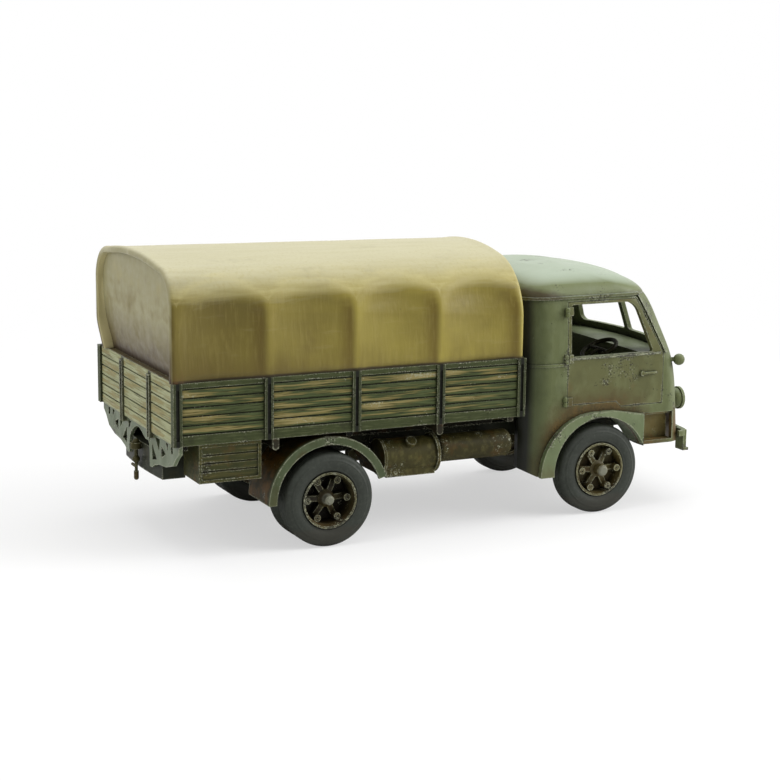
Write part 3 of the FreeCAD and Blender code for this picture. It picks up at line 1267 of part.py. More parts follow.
def tool_box():
    """The plank locker behind the right-hand rear wheel, with a frame round its face."""
    plate, guard = BED_REAR + PLATE_X + PLATE_THICK, REAR_AXLE_X - GUARD_RADIUS
    x0 = plate + (guard - plate) * BOX_REAR_SHARE
    x1 = guard - (guard - plate) * BOX_FRONT_SHARE
    y0, y1 = -HALF_BED + BOX_IN, -HALF_BED + BOX_IN + BOX_DEEP
    z0, z1 = BOX_LOW_Z, BED_SIDE_BOTTOM
    case = box(x0, x1, y0, y1, z0, z1)
    f, p = BOX_FRAME, BOX_FRAME_PROUD
    frame = box(x0, x1, y0 - p, y0, z0, z1).cut(box(x0 + f, x1 - f, y0 - p, y0, z0 + f, z1 - f))
    cuts = []
    for z in joints_between(z0 + f, z1 - f, BOX_PLANKS)[1:-1]:
        cuts.append(box(x0 + f, x1 - f, y0, y0 + GROOVE_DEPTH, z - GROOVE_WIDTH / 2.0,
                        z + GROOVE_WIDTH / 2.0))
    return joined([case.cut(cuts), frame]).cut(bed_bearers())


def tank_arms(x0, x1, y, z):
    """Two arms that hold a tank on the frame rail."""
    pieces = []
    for share in (TANK_ARM_SHARE, 1.0 - TANK_ARM_SHARE):
        x = x0 + (x1 - x0) * share
        pieces.append(box(x - TANK_ARM / 2.0, x + TANK_ARM / 2.0, y, -RAIL_OUT,
                          z - TANK_ARM_HALF, z + TANK_ARM_HALF))
    return pieces


def fuel_tank():
    """The right-hand tank with end bands, a filler cap and the cradle it lies on."""
    y, z, r = TANK_Y, TANK_Z, TANK_RADIUS
    x0, x1 = TANK_REAR, TANK_FRONT
    drum = rod_x(y, z, x0, x1, r)
    band = rod_x(y, z, x0, x0 + TANK_BAND, r + TANK_BAND_PROUD)
    flange = rod_x(y, z, x1 - TANK_FLANGE, x1, r + TANK_FLANGE_PROUD)
    cap = rod_z(x0 + TANK_CAP_PLACE, y, z, z + r + TANK_CAP_PROUD, TANK_CAP_RADIUS)
    cap.rotate(V(0, y, z), V(1, 0, 0), TANK_CAP_TURN)
    out = y - CRADLE_OUT
    cradle = box(x0 + CRADLE_SHORT, x1 - TANK_FLANGE, out, y, CRADLE_LOW_Z, CRADLE_LOW_Z + CRADLE_HIGH)
    return joined([drum, band, flange, cap, cradle] + tank_arms(x0, x1, y + r / 2.0, z))


def air_tank():
    """The second, thinner tank ahead of the first, with domed ends."""
    y, z, r, dome = TANK_Y, SECOND_TANK_Z, SECOND_TANK_RADIUS, SECOND_TANK_DOME
    x0, x1 = SECOND_REAR, SECOND_FRONT
    drum = rod_x(y, z, x0, x1, r)
    rims = [edge for edge in drum.Edges if edge.BoundBox.XLength < dome]
    return joined([drum.makeFillet(dome, rims)] + tank_arms(x0, x1, y + r / 2.0, z))


def build():
    """Make every piece and write it."""
    save("chassis_frame", chassis())
    save("bed_bearers", bed_bearers())
    save("bed_floor", bed_floor())
    save_pair("bed_side", bed_side())
    save("headboard", headboard())
    save("tailgate", tailgate())
    save("rear_cross_plate", rear_plate())
    save("tow_hook", tow_hook())
    save("tilt_cover", tilt())
    save("cab_body", cab_body())
    save("cab_roof", cab_roof())
    save_pair("door", cab_door())
    save("cab_floor", cab_floor())
    save("cab_seat", cab_seat())
    save("dashboard", dashboard())
    save("steering_wheel", steering_wheel())
    save_pair("front_fender", front_fender())
    save_pair("cab_step", cab_step())
    save_pair("headlamp", headlamp())
    save_pair("marker_lamp", marker_lamp())
    save("grille", grille())
    save("bumper", bumper())
    save("front_axle", front_axle())
    save("rear_axle", rear_axle())
    save_pair("front_spring", spring_pack(FRONT_AXLE_X, FRONT_SPRING_REACH, AXLE_Z + BEAM_HALF))
    save_pair("rear_spring", spring_pack(REAR_AXLE_X, REAR_SPRING_REACH, AXLE_Z + CASE_RADIUS))
    save("drive_shaft", drive_shaft())
    save_pair("tyre_front", tyre(FRONT_AXLE_X, AXLE_Z, FRONT_FACE_Y))
    save_pair("wheel_front", front_wheel())
    save_pair("tyre_rear_outer", tyre(REAR_AXLE_X, AXLE_Z, REAR_FACE_Y))
    save_pair("tyre_rear_inner", tyre(REAR_AXLE_X, AXLE_Z, REAR_INNER_FACE_Y))
    save_pair("wheel_rear", rear_wheel())
    save_pair("rear_mudguard", rear_mudguard())
    save("tool_box", tool_box())
    save("fuel_tank", fuel_tank())
    save("air_tank", air_tank())


build()
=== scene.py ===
"""Dresses a small cast and painted cargo lorry: cover, planks, tyres, trim, paint and studio."""

import json
import math

import bmesh
import bpy
import numpy as np
from mathutils import Matrix, Vector


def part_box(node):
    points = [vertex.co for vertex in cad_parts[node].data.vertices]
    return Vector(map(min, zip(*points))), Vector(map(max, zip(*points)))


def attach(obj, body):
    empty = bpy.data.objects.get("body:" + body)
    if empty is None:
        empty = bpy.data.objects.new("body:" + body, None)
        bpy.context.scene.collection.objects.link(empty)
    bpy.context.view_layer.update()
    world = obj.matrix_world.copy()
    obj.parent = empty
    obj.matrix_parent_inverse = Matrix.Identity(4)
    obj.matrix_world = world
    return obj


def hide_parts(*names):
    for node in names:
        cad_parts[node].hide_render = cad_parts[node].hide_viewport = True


bl_info = {
    "name": "Cargo lorry miniature",
    "version": (1, 0, 0),
    "blender": (4, 5, 0),
    "location": "View3D > Sidebar > Lorry",
    "description": "Dresses a small cast lorry with a plank bed and a cloth cover",
    "category": "Add Mesh",
}

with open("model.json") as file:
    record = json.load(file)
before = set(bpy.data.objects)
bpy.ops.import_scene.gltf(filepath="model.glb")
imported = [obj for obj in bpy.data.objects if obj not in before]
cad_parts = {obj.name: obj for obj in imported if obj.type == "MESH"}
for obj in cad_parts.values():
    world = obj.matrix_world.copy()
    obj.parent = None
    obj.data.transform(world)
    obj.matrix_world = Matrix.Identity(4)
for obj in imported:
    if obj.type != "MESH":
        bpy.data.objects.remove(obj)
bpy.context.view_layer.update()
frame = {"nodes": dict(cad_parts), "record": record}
NODES = frame["nodes"]
MM = 0.001
BODY = "lorry"
SIDES = ((-1, "right"), (1, "left"))


def box_mm(node):
    """A node's lowest and highest corner in millimetres."""
    return [np.array(corner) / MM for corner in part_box(node)]


# The bed as the frame has it: its ends, its side's outer face and its height
BED_LOW, BED_HIGH = box_mm("bed_side_right")
BED_REAR, BED_FRONT = BED_LOW[0], BED_HIGH[0]
HALF_BED = -BED_LOW[1]
BED_BASE, BED_TOP = BED_LOW[2], BED_HIGH[2]
FRONT_AXLE, REAR_AXLE = [sum(box_mm("wheel_" + end + "_right"))[0] / 2.0 for end in ("front", "rear")]

# The bed's walls: bays between posts, planks between rails, and how finely a plank is cut
BAYS, POST_WIDTH = 4, 1.5
PANEL_IN, WALL = 0.45, 0.9
TOP_RAIL, BOTTOM_RAIL = 1.0, 1.8
PLANKS, TAILGATE_PLANKS = 5, 6
TAILGATE_X = BED_REAR + 0.45
STRAP_Y, STRAP_WIDTH = 7.3, 1.4
GROOVE, PLANK_END = 0.25, 0.02
PLANK_STEPS, TAILGATE_STEPS, PLANK_ACROSS = 60, 50, 12

# The cover's outline: how far in and down its shoulder's foot, middle and end lie, rear then front
SHOULDER_REAR = [(0.0, 6.9), (1.75, 3.0), (6.4, 1.1)]
SHOULDER_FRONT = [(0.0, 11.2), (1.9, 5.9), (7.7, 1.6)]
SHOULDER_LEAN = (0.0, 0.7, 0.95)
COVER_ENDS = COVER_REAR, COVER_FRONT = BED_REAR - 0.3, BED_FRONT - 0.4
COVER_TOPS = (49.15, 48.45)
COVER_HALF = HALF_BED - 0.1
EDGE_ROUND, RIM_WIDTH, RECESS = 0.7, 0.8, 1.9
HOOP_PITCH = (BED_FRONT - BED_REAR - POST_WIDTH) / BAYS
HOOP_FIRST = BED_REAR + POST_WIDTH / 2.0
# Where the hollow between two hoops begins at a hoop, how much higher it begins between them, how
# that falls along the cover, how flat its arch is, and over what height the hollow grows deep
ARCH_Z, ARCH_RISE, ARCH_FALL = 41.6, 3.7, -0.012
ARCH_FLAT, ARCH_SPAN = 0.5, 3.6
BAY_FLAT = 0.9
HEM_DEPTH, HEM_HALF = 0.22, 0.55
TUCK_DEPTH, TUCK_REACH = 3.6, 6.0
FLAP_HEIGHT, FLAP_PUFF, FLAP_FOLD = 19.0, 0.35, 0.10
# How finely the cover is cut along, round an edge, into the recess and toward the flap's middle,
# then up a side, round a shoulder, over the crown and along the underside
ALONG, EDGE_STEPS, RECESS_RINGS, FLAP_RINGS = 150, 7, 5, 34
SIDE_STEPS, SHOULDER_STEPS, CROWN_STEPS, UNDER = 40, 26, 61, 38

# The tyres' sections
RIM_RADIUS, TYRE_RADIUS = 4.84, 8.1
TYRE_WIDTH, TYRE_SHOULDER, TYRE_BEAD = 4.0, 0.9, 0.4
TREAD_GROOVES, TREAD_GROOVE_HALF = (-0.62, 0.0, 0.62), 0.11
TYRE_CLEAR = 0.01
WALL_STEPS, TURN_STEPS, TREAD_STEPS, TYRE_TURNS = 26, 10, 40, 96

# The cab side's straight run, its doors, windows and foot holes
CAB_HALF = HALF_BED - 2.2
CAB_REAR = box_mm("cab_body")[0][0]
ROOF_BASE = box_mm("cab_roof")[0][2]
GUARD_HALF = -box_mm("rear_mudguard_right")[0][1]
DOOR_REAR = FRONT_AXLE - 6.92
SILL_Z, SILL_REAR, SILL_FRONT, SILL_RADIUS = 28.48, DOOR_REAR + 0.35, FRONT_AXLE + 12.5, 0.2
HINGE_LEVELS = (36.9, 28.5, 20.9)
HINGE_RADIUS, HINGE_HALF = 0.42, 0.95
FOOT_HOLE_X, FOOT_HOLE_Z = FRONT_AXLE + 8.5, 19.0
LENS_IN, LENS_DOME = 0.28, 0.22

# The photograph's camera: turned, raised, far off and rolled, looking at a point over the bed
CAMERA_TURN, CAMERA_RISE, CAMERA_ROLL = math.radians(-25.625), math.radians(11.23), math.radians(0.688)
CAMERA_FAR = 340.864 * MM
CAMERA_TARGET = (BED_REAR + 48.0, 0.0, 21.629)
CAMERA_LENS, CAMERA_SENSOR, CAMERA_NEAR = 87.49, 36.0, 0.01

# The studio in metres and watts: each softbox's place, size and power, and where the floor fades
SOFTBOXES = (("key_softbox", (0.42, -0.26, 0.30), 0.34, 1.9),
             ("front_softbox", (0.62, -0.12, 0.20), 0.30, 1.2),
             ("rear_softbox", (-0.46, 0.02, 0.36), 0.40, 1.0),
             ("top_softbox", (0.02, 0.06, 0.62), 0.60, 2.3))
SOFTBOX_AIM = Vector((0.0, 0.0, 0.02))
FLOOR_FADE = (0.10, 0.24)
SKY_LIGHT = 0.30

# The paint's marks in millimetres: specks, gathered patches, worn edges and where dirt is thickest
SPECK, PATCH, EDGE_REACH, DIRT_FULL = 0.35, 4.5, 0.28, 3.0

MATH = "ShaderNodeMath"
RANGE = "ShaderNodeMapRange"


# Small helpers

def linear(hex_colour):
    """An sRGB hex colour as linear red, green, blue and alpha."""
    parts = [int(hex_colour[i:i + 2], 16) / 255.0 for i in (1, 3, 5)]
    return tuple(c / 12.92 if c <= 0.04045 else ((c + 0.055) / 1.055) ** 2.4 for c in parts) + (1.0,)


def add(tree, kind, links=None, **settings):
    """Adds one node: settings are its own properties, links feed or set its sockets."""
    made = tree.nodes.new(kind)
    for key, value in settings.items():
        setattr(made, key, value)
    for key, value in (links or {}).items():
        if isinstance(value, bpy.types.NodeSocket):
            tree.links.new(value, made.inputs[key])
        else:
            made.inputs[key].default_value = value
    return made


def linked(name, data):
    """A new object with this data, linked into the scene."""
    made = bpy.data.objects.new(name, data)
    bpy.context.scene.collection.objects.link(made)
    return made


def place_piece(name, mesh, material, body=BODY, replaces=()):
    """Links a finished mesh as a piece that rides on a body and wears the given material, and hides what it
    replaces.
    """
    piece = linked(name, mesh)
    mesh.materials.append(material)
    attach(piece, body)
    if replaces:
        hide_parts(*replaces)


def sheet_faces(rows, columns, wrap_rows, wrap_columns, start):
    """Quads of a grid of points, with its rows or columns closed into a ring if asked."""
    i = np.arange(rows if wrap_rows else rows - 1)
    j = np.arange(columns if wrap_columns else columns - 1)
    i, j = np.meshgrid(i, j, indexing="ij")
    i2, j2 = (i + 1) % rows, (j + 1) % columns
    quads = np.stack([i * columns + j, i * columns + j2, i2 * columns + j2, i2 * columns + j], axis=-1)
    return quads.reshape(-1, 4) + start


def mesh_of(name, grids, sharp=None, closed=False):
    """One mesh from grids of points in millimetres, each with its wraps and whether it is turned.

    A closed form gets its faces pointed outwards once its doubles are merged.
    """
    points, faces, start = [], [], 0
    for grid, wrap_rows, wrap_columns, turned in grids:
        quads = sheet_faces(grid.shape[0], grid.shape[1], wrap_rows, wrap_columns, start)
        faces.append(quads[:, ::-1] if turned else quads)
        points.append(grid.reshape(-1, 3) * MM)
        start += grid.shape[0] * grid.shape[1]
    mesh = bpy.data.meshes.new(name)
    mesh.from_pydata(np.concatenate(points).tolist(), [], np.concatenate(faces).tolist())
    work = bmesh.new()
    work.from_mesh(mesh)
    bmesh.ops.remove_doubles(work, verts=work.verts, dist=1e-6)
    bmesh.ops.dissolve_degenerate(work, edges=work.edges, dist=1e-7)
    if closed:
        bmesh.ops.recalc_face_normals(work, faces=work.faces)
    work.to_mesh(mesh)
    work.free()
    mesh.shade_smooth()
    if sharp:
        mesh.set_sharp_from_angle(angle=math.radians(sharp))
    return mesh


def ripple(seed, scale, *axes):
    """A smooth field between about -1 and 1: six sine waves of seeded direction and phase, summed."""
    rng = np.random.default_rng(seed)
    total = 0.0
    for k in range(6):
        pace = rng.normal(size=len(axes)) / scale * (1.0 + 0.35 * k)
        phase = rng.uniform(0, 6.283)
        total = total + np.sin(sum(t * a for t, a in zip(pace, axes)) + phase) / (1.0 + 0.4 * k)
    return total / 3.2


def turns(count):
    """Equal turns all the way round."""
    return np.linspace(0.0, 2.0 * np.pi, count + 1)[:-1]


def smooth(value, low, high):
    """A smooth step from 0 at low to 1 at high."""
    t = np.clip((value - low) / (high - low), 0.0, 1.0)
    return t * t * (3.0 - 2.0 * t)


def bump_at(value, middle, width):
    """A bell of height 1 round a middle."""
    return np.exp(-((value - middle) / width) ** 2)


# Paint

class Brush:
    """One paint in the making: its material, its colour so far and the places it goes by.

    x, y and z are object coordinates in millimetres and out is how far y lies from the middle. A
    mask is a number or a node's output, and clouds is the soft noise that most coats share.
    """

    def __init__(self, name, colour, clouds=(4.0, 4.0, 1.3)):
        self.material = bpy.data.materials.new(name)
        self.material.use_nodes = True
        self.tree = self.material.node_tree
        self.tree.nodes.clear()
        self.colour = colour
        self.where = self.add("ShaderNodeTexCoord").outputs["Object"]
        self.x, self.y, self.z = [self.times(part, 1.0 / MM) for part in self.split(self.where)]
        self.out = self.calc("ABSOLUTE", self.y)
        self.clouds = self.strokes(*clouds)

    def add(self, kind, links=None, **settings):
        """One node in this paint's tree."""
        return add(self.tree, kind, links, **settings)

    def split(self, vector):
        """The three parts of a vector."""
        return self.add("ShaderNodeSeparateXYZ", {"Vector": vector}).outputs

    def facing(self):
        """The three parts of the direction that the surface faces."""
        return self.split(self.add("ShaderNodeNewGeometry").outputs["Normal"])

    def calc(self, operation, *values):
        """One step of arithmetic on sockets or numbers."""
        return self.add(MATH, dict(enumerate(values)), operation=operation).outputs[0]

    def times(self, first, *others):
        """The product of some values."""
        for value in others:
            first = self.calc("MULTIPLY", first, value)
        return first

    def plus(self, first, *others):
        """The sum of some values."""
        for value in others:
            first = self.calc("ADD", first, value)
        return first

    def ramp(self, value, low, high, bottom=0.0, top=1.0, soft=False):
        """A value's place between low and high, as bottom to top."""
        ends = {"Value": value, "From Min": low, "From Max": high, "To Min": bottom, "To Max": top}
        return self.add(RANGE, ends, interpolation_type="SMOOTHSTEP" if soft else "LINEAR").outputs["Result"]

    def coat(self, over, mask, low, high, most=1.0):
        """Lays a colour over the rest where a mask passes from low to high."""
        over = linear(over) if isinstance(over, str) else over
        amount = self.ramp(mask, low, high, 0.0, most)
        mixed = self.add("ShaderNodeMix", {0: amount, 6: self.colour, 7: over}, data_type="RGBA")
        self.colour = mixed.outputs[2]

    def strokes(self, size, detail=3.0, shift=0.0):
        """Brush marks: noise whose grain along x, y and z has these lengths in millimetres."""
        size = size if isinstance(size, tuple) else (size,) * 3
        placed = self.add("ShaderNodeMapping", {"Vector": self.where,
                                                "Location": (shift, shift * 0.7, shift * 1.3),
                                                "Scale": tuple(1.0 / (length * MM) for length in size)})
        return self.add("ShaderNodeTexNoise", {"Vector": placed.outputs["Vector"], "Scale": 1.0,
                                               "Detail": detail, "Roughness": 0.55}).outputs["Fac"]

    def hollows(self, reach, inside=False):
        """How open a place is: 0 in a hollow and 1 in the open, or from inside 0 at a thin edge."""
        return self.add("ShaderNodeAmbientOcclusion", {"Distance": reach * MM}, samples=4,
                        inside=inside).outputs["AO"]

    def around(self, axle):
        """The distance from an axle as the side shows it: the root of the squares' sum."""
        x, z = self.plus(self.x, -axle), self.plus(self.z, -TYRE_RADIUS)
        return self.calc("SQRT", self.plus(self.times(x, x), self.times(z, z)))

    def bay_place(self):
        """The place along a bay: 0 at one post and 1 at the next."""
        return self.calc("FRACT", self.calc("DIVIDE", self.plus(self.x, -HOOP_FIRST), HOOP_PITCH))

    def finish(self, gloss, lift, height, gleam=0.3, metal=0.0):
        """Ends in a satin shader with its roughness and its brushed relief, and gives the material."""
        normal = self.add("ShaderNodeBump", {"Height": lift, "Distance": height * MM, "Strength": 0.6})
        shader = self.add("ShaderNodeBsdfPrincipled", {
            "Base Color": self.colour, "Roughness": gloss, "Specular IOR Level": gleam, "Metallic": metal,
            "Normal": normal.outputs["Normal"]})
        self.add("ShaderNodeOutputMaterial", {"Surface": shader.outputs["BSDF"]})
        return self.material


def painted(name, base, light, wash, dust=None, grain=(2.5, 2.5, 5.0), sheen=0.5, edge=0.55, chips=0.5,
            wash_and_shade_reach=1.1, dirt_top=14.0, wash_and_shade_most=0.85, tone=0.35, crown=None, rust=None, extra=None,
            last=None, gleam=0.3):
    """Satin acrylic brushed on a casting, with washes in its corners that also stand for painted shade,
    and pale dry-brushed edges.

    The casting's surface is a little rough, so the paint breaks into strokes and specks. Crown is
    the paler paint on what faces up, dry-brushing and a painted highlight from above together, rust
    the brown that gathers in patches, and extra and last are functions that lay on what one casting
    alone has, before and after the washes.
    """
    brush = Brush(name, linear(base))
    coat, strokes, times, plus = brush.coat, brush.strokes, brush.times, brush.plus
    specks = strokes(SPECK, 3.0, 4.7)
    coat(wash, brush.clouds, 0.5, 0.85, tone)
    coat(light, strokes(grain, 3.0, 2.1), 0.48, 0.75, tone * 0.7)
    # Crown: paler paint on upward faces, dry-brushing and a painted highlight of the light from above
    if crown:
        coat(crown[0], brush.facing()["Z"], *crown[1:])
    if rust:
        coat(rust, strokes(3.0, 5.0, 6.4), 0.56, 0.70, 0.7)
    if dust:
        coat(dust, times(brush.ramp(brush.z, dirt_top, DIRT_FULL), brush.clouds), 0.12, 0.5, 0.8)
    if extra:
        extra(brush)
    corner = brush.hollows(EDGE_REACH, inside=True)
    # Darker in the hollows by how open they are: the casting's washes, and also painted shade in corners and
    # recesses
    coat(wash, brush.calc("SUBTRACT", brush.hollows(wash_and_shade_reach), specks), 0.32, -0.12, wash_and_shade_most)
    coat(light, plus(corner, specks), 1.32, 0.95, edge)
    patches = strokes(PATCH, 3.0, 9.6)
    chipped = plus(times(corner, -0.9), times(patches, 1.5), strokes(0.22, 2.0, 7.1))
    coat("#A3A58E", chipped, 0.80 - 0.2 * chips, 0.86 - 0.2 * chips, 0.8)
    pitted = plus(times(corner, 0.4), times(patches, -1.5), strokes(0.3, 3.0, 8.8))
    coat("#1A160C", pitted, -0.16 + 0.1 * chips, -0.22 + 0.1 * chips, 0.85)
    if last:
        last(brush)
    return brush.finish(brush.ramp(brush.clouds, 0.3, 0.7, sheen - 0.06, sheen + 0.1), specks, 0.03, gleam)


def ring_mud(brush):
    """Brown mud on the body over the front wheel: by the distance from the axle, seen from the side."""
    away = brush.around(FRONT_AXLE)
    brush.coat("#4B3C18", brush.plus(brush.ramp(away, 17.0, 10.0), brush.clouds), 0.66, 1.2, 0.9)
    stain = brush.times(brush.ramp(away, 16.0, 12.0), brush.strokes((1.4, 1.4, 4.0), 4.0, 5.5))
    brush.coat("#5E4A1F", stain, 0.36, 0.55, 0.7)


def hub_wear(brush):
    """Bare grey metal on each hub's tip: by the distance from the nearer axle and how far out it lies."""
    away = brush.calc("MINIMUM", brush.around(FRONT_AXLE), brush.around(REAR_AXLE))
    tip = brush.times(brush.ramp(away, 1.15, 0.75), brush.ramp(brush.out, 18.2, 19.0))
    brush.coat("#7E7F70", brush.plus(brush.times(brush.clouds, 0.5), tip), 0.5, 1.4, 0.9)


def cab_shade(brush):
    """Mud over the wheel and rust in the foot hole: by the place."""
    ring_mud(brush)
    hole = brush.times(brush.ramp(brush.x, FOOT_HOLE_X, FOOT_HOLE_X + 1.0),
                       brush.ramp(brush.z, FOOT_HOLE_Z, FOOT_HOLE_Z - 3.0),
                       brush.ramp(brush.out, CAB_HALF - 0.1, CAB_HALF - 0.5))
    brush.coat("#5A4220", hole, 0.0, 1.0, 0.85)


def gap_shade(brush):
    """Painted shade: black-green in the gap behind the cab, by how near the cab's rear it lies."""
    brush.coat("#3C4425", brush.x, CAB_REAR + 6.0, CAB_REAR + 3.2, 0.6)
    brush.coat("#080A02", brush.x, CAB_REAR + 3.0, CAB_REAR + 1.9, 0.97)


def roof_stain(brush):
    """Brown stain along the roof's drip edge and dark at its rear end: by height and place along."""
    edge = brush.ramp(brush.z, ROOF_BASE + 2.2, ROOF_BASE + 0.3)
    back = brush.times(brush.ramp(brush.x, CAB_REAR + 9.0, CAB_REAR + 2.0),
                       brush.ramp(brush.z, ROOF_BASE + 7.0, ROOF_BASE + 1.5, 0.0, 0.9))
    brush.coat("#3A2C16", brush.plus(edge, back, brush.clouds), 1.15, 1.75, 0.85)


def guard_shade(brush):
    """Dark on the rear guards' inner faces, part mud and part painted shade, with rusty patches: by how far
    in they lie.
    """
    deep = brush.ramp(brush.out, GUARD_HALF - 0.3, GUARD_HALF - 0.9)
    brush.coat("#30270A", brush.plus(brush.times(brush.clouds, 0.4), deep), 0.1, 0.95, 0.95)
    brush.coat("#6B4A18", brush.times(deep, brush.strokes(2.2, 5.0, 3.9)), 0.42, 0.62, 0.7)


def strap_shade(brush):
    """Dark green straps on the tailgate and brown dirt on its top: by place across and by height."""
    strap = brush.calc("COMPARE", brush.out, STRAP_Y, STRAP_WIDTH * 0.52)
    brush.coat("#2C3020", strap, 0.0, 1.0, 0.9)
    brush.coat("#4A3A20", brush.z, BED_TOP - 0.12, BED_TOP - 0.02, 0.9)


def post_shade(brush):
    """Painted shade: blackens the hollow of each post of the bed's sides and darkens round it, by the
    distance from the nearest post.
    """
    near = brush.calc("PINGPONG", brush.plus(brush.x, -HOOP_FIRST), HOOP_PITCH / 2.0)
    brush.coat("#2E3322", near, 0.70, 0.58, 0.6)
    brush.coat("#0B0C07", near, 0.33, 0.27, 0.9)


# Each slot's paint. A crown is paler paint on upward faces: dry-brushing and a painted highlight from above
PAINTS = {
    "green_paint": dict(base="#5A613A", light="#828B62", wash="#1E200D", dust="#55401F",
                        crown=("#808C6C", 0.6, 1.0, 0.6)),
    "dark_paint": dict(base="#3B371B", light="#625E3A", wash="#100F07", dust="#3E2E16", rust="#4A3418",
                       gleam=0.15),
    "plank_paint": dict(base="#383F22", light="#6E7350", wash="#121408", dust="#4A3C20", rust="#2A2C1A",
                        grain=(3.0, 0.4, 0.3), chips=0.9, tone=0.5, gleam=0.15),
    "tailgate_paint": dict(base="#92946D", light="#ABAC88", wash="#35341D", dust="#5F4D2B", wash_and_shade_most=0.6,
                           grain=(0.6, 3.0, 0.5), extra=strap_shade),
    "pale_paint": dict(base="#5F6B50", light="#8E957A", wash="#1C1E0E", dust="#5A4724", sheen=0.42,
                       wash_and_shade_reach=1.0, chips=0.8),
    "tilt_paint": dict(base="#8A7E44", light="#A89E66", wash="#4A3B1E"),
    "cab_trim_paint": dict(base="#26230F", light="#4A4728", wash="#0C0B05", gleam=0.15),
    "tyre_paint": dict(base="#2B2F28", light="#4C5147", wash="#131410", dust="#302F27",
                       grain=(0.6, 0.6, 0.6), sheen=0.6, chips=-1.0, edge=0.4, dirt_top=4.0),
    "wheel_paint": dict(base="#453F20", light="#98966F", wash="#100D05", dust="#3D2F16", chips=0.9,
                        wash_and_shade_reach=1.6, edge=0.9, rust="#4E3A1C", extra=hub_wear, gleam=0.2),
}
TANK = dict(chips=1.3, tone=0.8, grain=(0.9, 0.9, 1.4))
# What a casting's own paint has besides its slot's, for one casting or for a right and a left one
CASTING_PAINTS = {
    "cab_body": dict(light="#8A9470", chips=0.3, edge=0.35, wash_and_shade_reach=2.0, wash="#14170A",
                     extra=cab_shade, last=gap_shade),
    "door": dict(base="#5A5B34", rust="#5E4F2A", extra=ring_mud, chips=0.5, edge=0.25, wash="#12140A",
                 wash_and_shade_most=0.95, wash_and_shade_reach=0.7),
    # The roof is the cab's green: its lighter base and pale crown are a painted sheen and highlight from
    # above, with dry-brushing
    "cab_roof": dict(base="#69714A", chips=0.25, light="#8F9982", sheen=0.42, tone=0.2, extra=roof_stain,
                     crown=("#A3AF9B", 0.72, 0.98, 0.95)),
    "front_fender": dict(base="#636F4C", light="#8A9474", chips=1.0),
    "rear_mudguard": dict(base="#49533A", light="#788468", wash_and_shade_reach=3.4, wash="#1E180A", rust="#443A20",
                          chips=1.1, extra=guard_shade, gleam=0.12),
    "cab_step": dict(base="#6C5F30", rust="#7A5624", crown=None, wash_and_shade_reach=1.6, wash_and_shade_most=0.6),
    "tool_box": dict(base="#34371A", light="#685D32", gleam=0.15, grain=(6.0, 0.6, 0.4), tone=0.8,
                     rust="#543F1E", chips=0.4, edge=0.45),
    "grille": dict(chips=-0.4, edge=0.35),
    "fuel_tank": dict(TANK, base="#3F3B1C", light="#6A6438", rust="#5A421C"),
    "air_tank": dict(TANK, base="#343016", light="#5C5630", rust="#4C3818"),
    "rear_cross_plate": dict(base="#5A654A", light="#8D967C", wash="#1A1C0D", wash_and_shade_reach=1.2,
                             wash_and_shade_most=0.9, chips=1.1),
    "chassis_frame": dict(base="#23261A", light="#47483A", wash_and_shade_reach=3.4, rust="#2E2A16"),
    "bed_bearers": dict(base="#1F1C10", light="#47432C", wash_and_shade_reach=2.4),
    "bed_side": dict(chips=0.45, edge=0.4, last=post_shade),
    "wheel_front": dict(wash="#262010", wash_and_shade_reach=1.2),
    # The rear wheels: a darker copy of the wheel paint with a wider darkening in the dish, painted shade
    # under the guards
    "wheel_rear": dict(base="#272310", light="#85835E", wash_and_shade_reach=2.8, rust="#38280F"),
}


class LorrySizes(bpy.types.PropertyGroup):
    """Sizes that a user would change."""
    fold_depth: bpy.props.FloatProperty(
        name="Bay depth", description="How far the cover is drawn in between its hoops",
        default=1.35 * MM, min=0.0, max=2.0 * MM, unit="LENGTH")
    crease_depth: bpy.props.FloatProperty(
        name="Crease depth", description="Height of the small creases in the cover",
        default=0.12 * MM, min=0.0, max=0.5 * MM, unit="LENGTH")
    grain_depth: bpy.props.FloatProperty(
        name="Grain depth", description="Height of the carved grain on the planks",
        default=0.09 * MM, min=0.0, max=0.2 * MM, unit="LENGTH")
    tread_depth: bpy.props.FloatProperty(
        name="Tread depth", description="Depth of the grooves round the tyres",
        default=0.14 * MM, min=0.0, max=0.4 * MM, unit="LENGTH")


class LorryColours(bpy.types.PropertyGroup):
    """Colours that a user would change."""
    cover: bpy.props.FloatVectorProperty(
        name="Cover", description="Main colour of the cloth cover", subtype="COLOR", size=4,
        default=linear("#9A8D3E"), min=0.0, max=1.0)
    plank: bpy.props.FloatVectorProperty(
        name="Plank", description="Bare worn wood on the planks", subtype="COLOR", size=4,
        default=linear("#776C3E"), min=0.0, max=1.0)


# The cloth cover

def through(a, b, c, count):
    """Points on the circle through three points: centre from the two bisectors, then equal turns.

    a, b and c are rows of points, one row for each place along the cover.
    """
    (ax, ay), (bx, by), (cx, cy) = a.T, b.T, c.T
    d = 2.0 * (ax * (by - cy) + bx * (cy - ay) + cx * (ay - by))
    sa, sb, sc = ax * ax + ay * ay, bx * bx + by * by, cx * cx + cy * cy
    ox = (sa * (by - cy) + sb * (cy - ay) + sc * (ay - by)) / d
    oy = (sa * (cx - bx) + sb * (ax - cx) + sc * (bx - ax)) / d
    start, end = np.arctan2(ay - oy, ax - ox), np.arctan2(cy - oy, cx - ox)
    sweep = (end - start + np.pi) % (2.0 * np.pi) - np.pi
    turn = start[:, None] + sweep[:, None] * np.linspace(0.0, 1.0, count)[None, :]
    radius = np.hypot(ax - ox, ay - oy)[:, None]
    return np.stack([ox[:, None] + radius * np.cos(turn), oy[:, None] + radius * np.sin(turn)], axis=-1)


